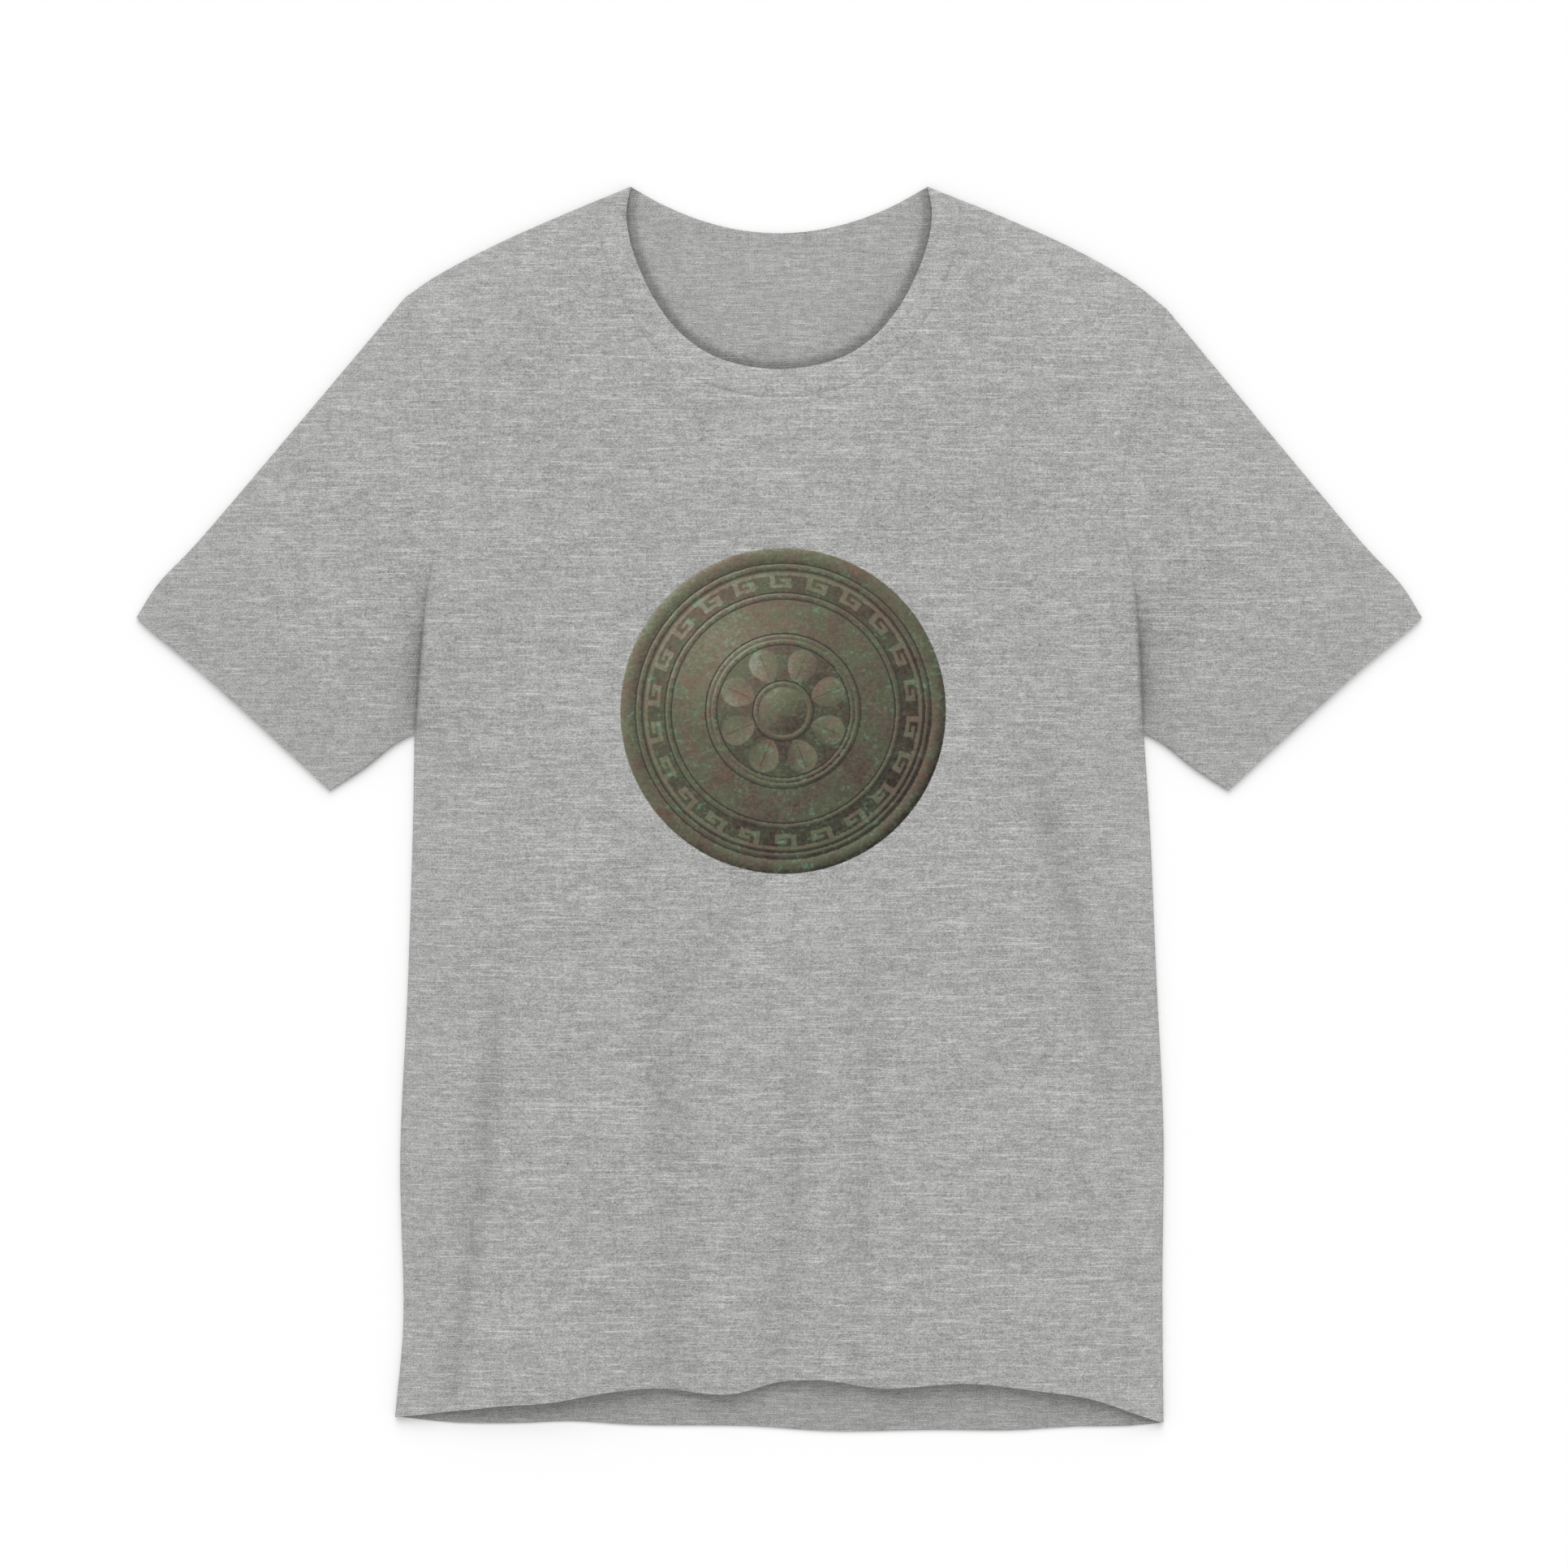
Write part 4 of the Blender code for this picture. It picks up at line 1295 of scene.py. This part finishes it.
class TSHIRT_OT_neck_band(bpy.types.Operator):
    """Build the rib band round the neck"""

    bl_idname = "tshirt.neck_band"
    bl_label = "Neck band"

    def execute(self, context):
        piece = neck_band(garment_of(context), "collar_rib")
        dress(piece, rib(context.scene.tshirt_cloth, "collar_rib_cloth"), "neck_band")
        return {"FINISHED"}


class TSHIRT_OT_stage(bpy.types.Operator):
    """Build the table, the light and the camera"""

    bl_idname = "tshirt.stage"
    bl_label = "Table, light and camera"

    def execute(self, context):
        stage = context.scene.tshirt_stage
        table(stage)
        light(context.scene, stage)
        camera(context.scene, stage)
        return {"FINISHED"}


# Half the side of the table top, its gap under the cloth, and the width of the sensor in millimetres
TABLE_HALF_SIDE = 14.0
TABLE_GAP = 0.0003
SENSOR = 36.0


def table(stage):
    """A plain pale table top."""
    mesh = bmesh.new()
    bmesh.ops.create_grid(mesh, x_segments=1, y_segments=1, size=TABLE_HALF_SIDE)
    bmesh.ops.translate(mesh, verts=mesh.verts, vec=(0.0, 0.0, -TABLE_GAP))
    piece = piece_of("table", mesh)
    paint = Paint("table_top")
    paint.shader.inputs["Base Color"].default_value = (*stage.floor, 1.0)
    paint.shader.inputs["Roughness"].default_value = 1.0
    paint.shader.inputs["Specular IOR Level"].default_value = 0.0
    piece.data.materials.append(paint.material)


def light(scene, stage):
    """A soft key light from above the neck's side, and an even fill from all round."""
    key = bpy.data.lights.new("key", "SUN")
    key.energy = stage.key_strength
    key.angle = stage.key_spread
    placed("key", key).rotation_euler = (-stage.key_tilt, 0.0, 0.0)
    world = bpy.data.worlds.new("studio")
    world.use_nodes = True
    background = world.node_tree.nodes["Background"]
    background.inputs["Color"].default_value = (1.0, 1.0, 1.0, 1.0)
    background.inputs["Strength"].default_value = stage.fill_strength
    scene.world = world
    scene.view_settings.view_transform = "Standard"


def camera(scene, stage):
    """A camera straight above, with the neck at the top of the picture."""
    lens = bpy.data.cameras.new("overhead")
    lens.lens = stage.focal_length
    lens.sensor_width = SENSOR
    eye = placed("overhead", lens)
    height = stage.frame_width * stage.focal_length / SENSOR
    eye.location = (stage.frame_centre_x, stage.frame_centre_y, height)
    scene.camera = eye


class TSHIRT_PT_sidebar(bpy.types.Panel):
    """The garment's builders and sizes"""

    bl_label = "T-shirt"
    bl_space_type = "VIEW_3D"
    bl_region_type = "UI"
    bl_category = "T-shirt"

    def draw(self, context):
        for operator in OPERATORS:
            self.layout.operator(operator.bl_idname)
        for group in SETTINGS:
            box = self.layout.box()
            for name in getattr(context.scene, group).bl_rna.properties.keys():
                if name not in ("rna_type", "name"):
                    box.prop(getattr(context.scene, group), name)


OPERATORS = (TSHIRT_OT_back_panel, TSHIRT_OT_front_panel, TSHIRT_OT_sleeves, TSHIRT_OT_neck_band,
             TSHIRT_OT_stage)
SETTINGS = {
    "tshirt_cut": TshirtCut,
    "tshirt_cloth": TshirtCloth,
    "tshirt_print": TshirtPrint,
    "tshirt_stage": TshirtStage,
}


def register():
    for name, group in SETTINGS.items():
        bpy.utils.register_class(group)
        setattr(bpy.types.Scene, name, PointerProperty(type=group))
    for operator in OPERATORS:
        bpy.utils.register_class(operator)
    bpy.utils.register_class(TSHIRT_PT_sidebar)


def unregister():
    bpy.utils.unregister_class(TSHIRT_PT_sidebar)
    for operator in reversed(OPERATORS):
        bpy.utils.unregister_class(operator)
    for name, group in SETTINGS.items():
        delattr(bpy.types.Scene, name)
        bpy.utils.unregister_class(group)


def main():
    register()
    bpy.ops.tshirt.back_panel()
    bpy.ops.tshirt.front_panel()
    bpy.ops.tshirt.sleeves()
    bpy.ops.tshirt.neck_band()
    bpy.ops.tshirt.stage()


if __name__ == "__main__":
    main()
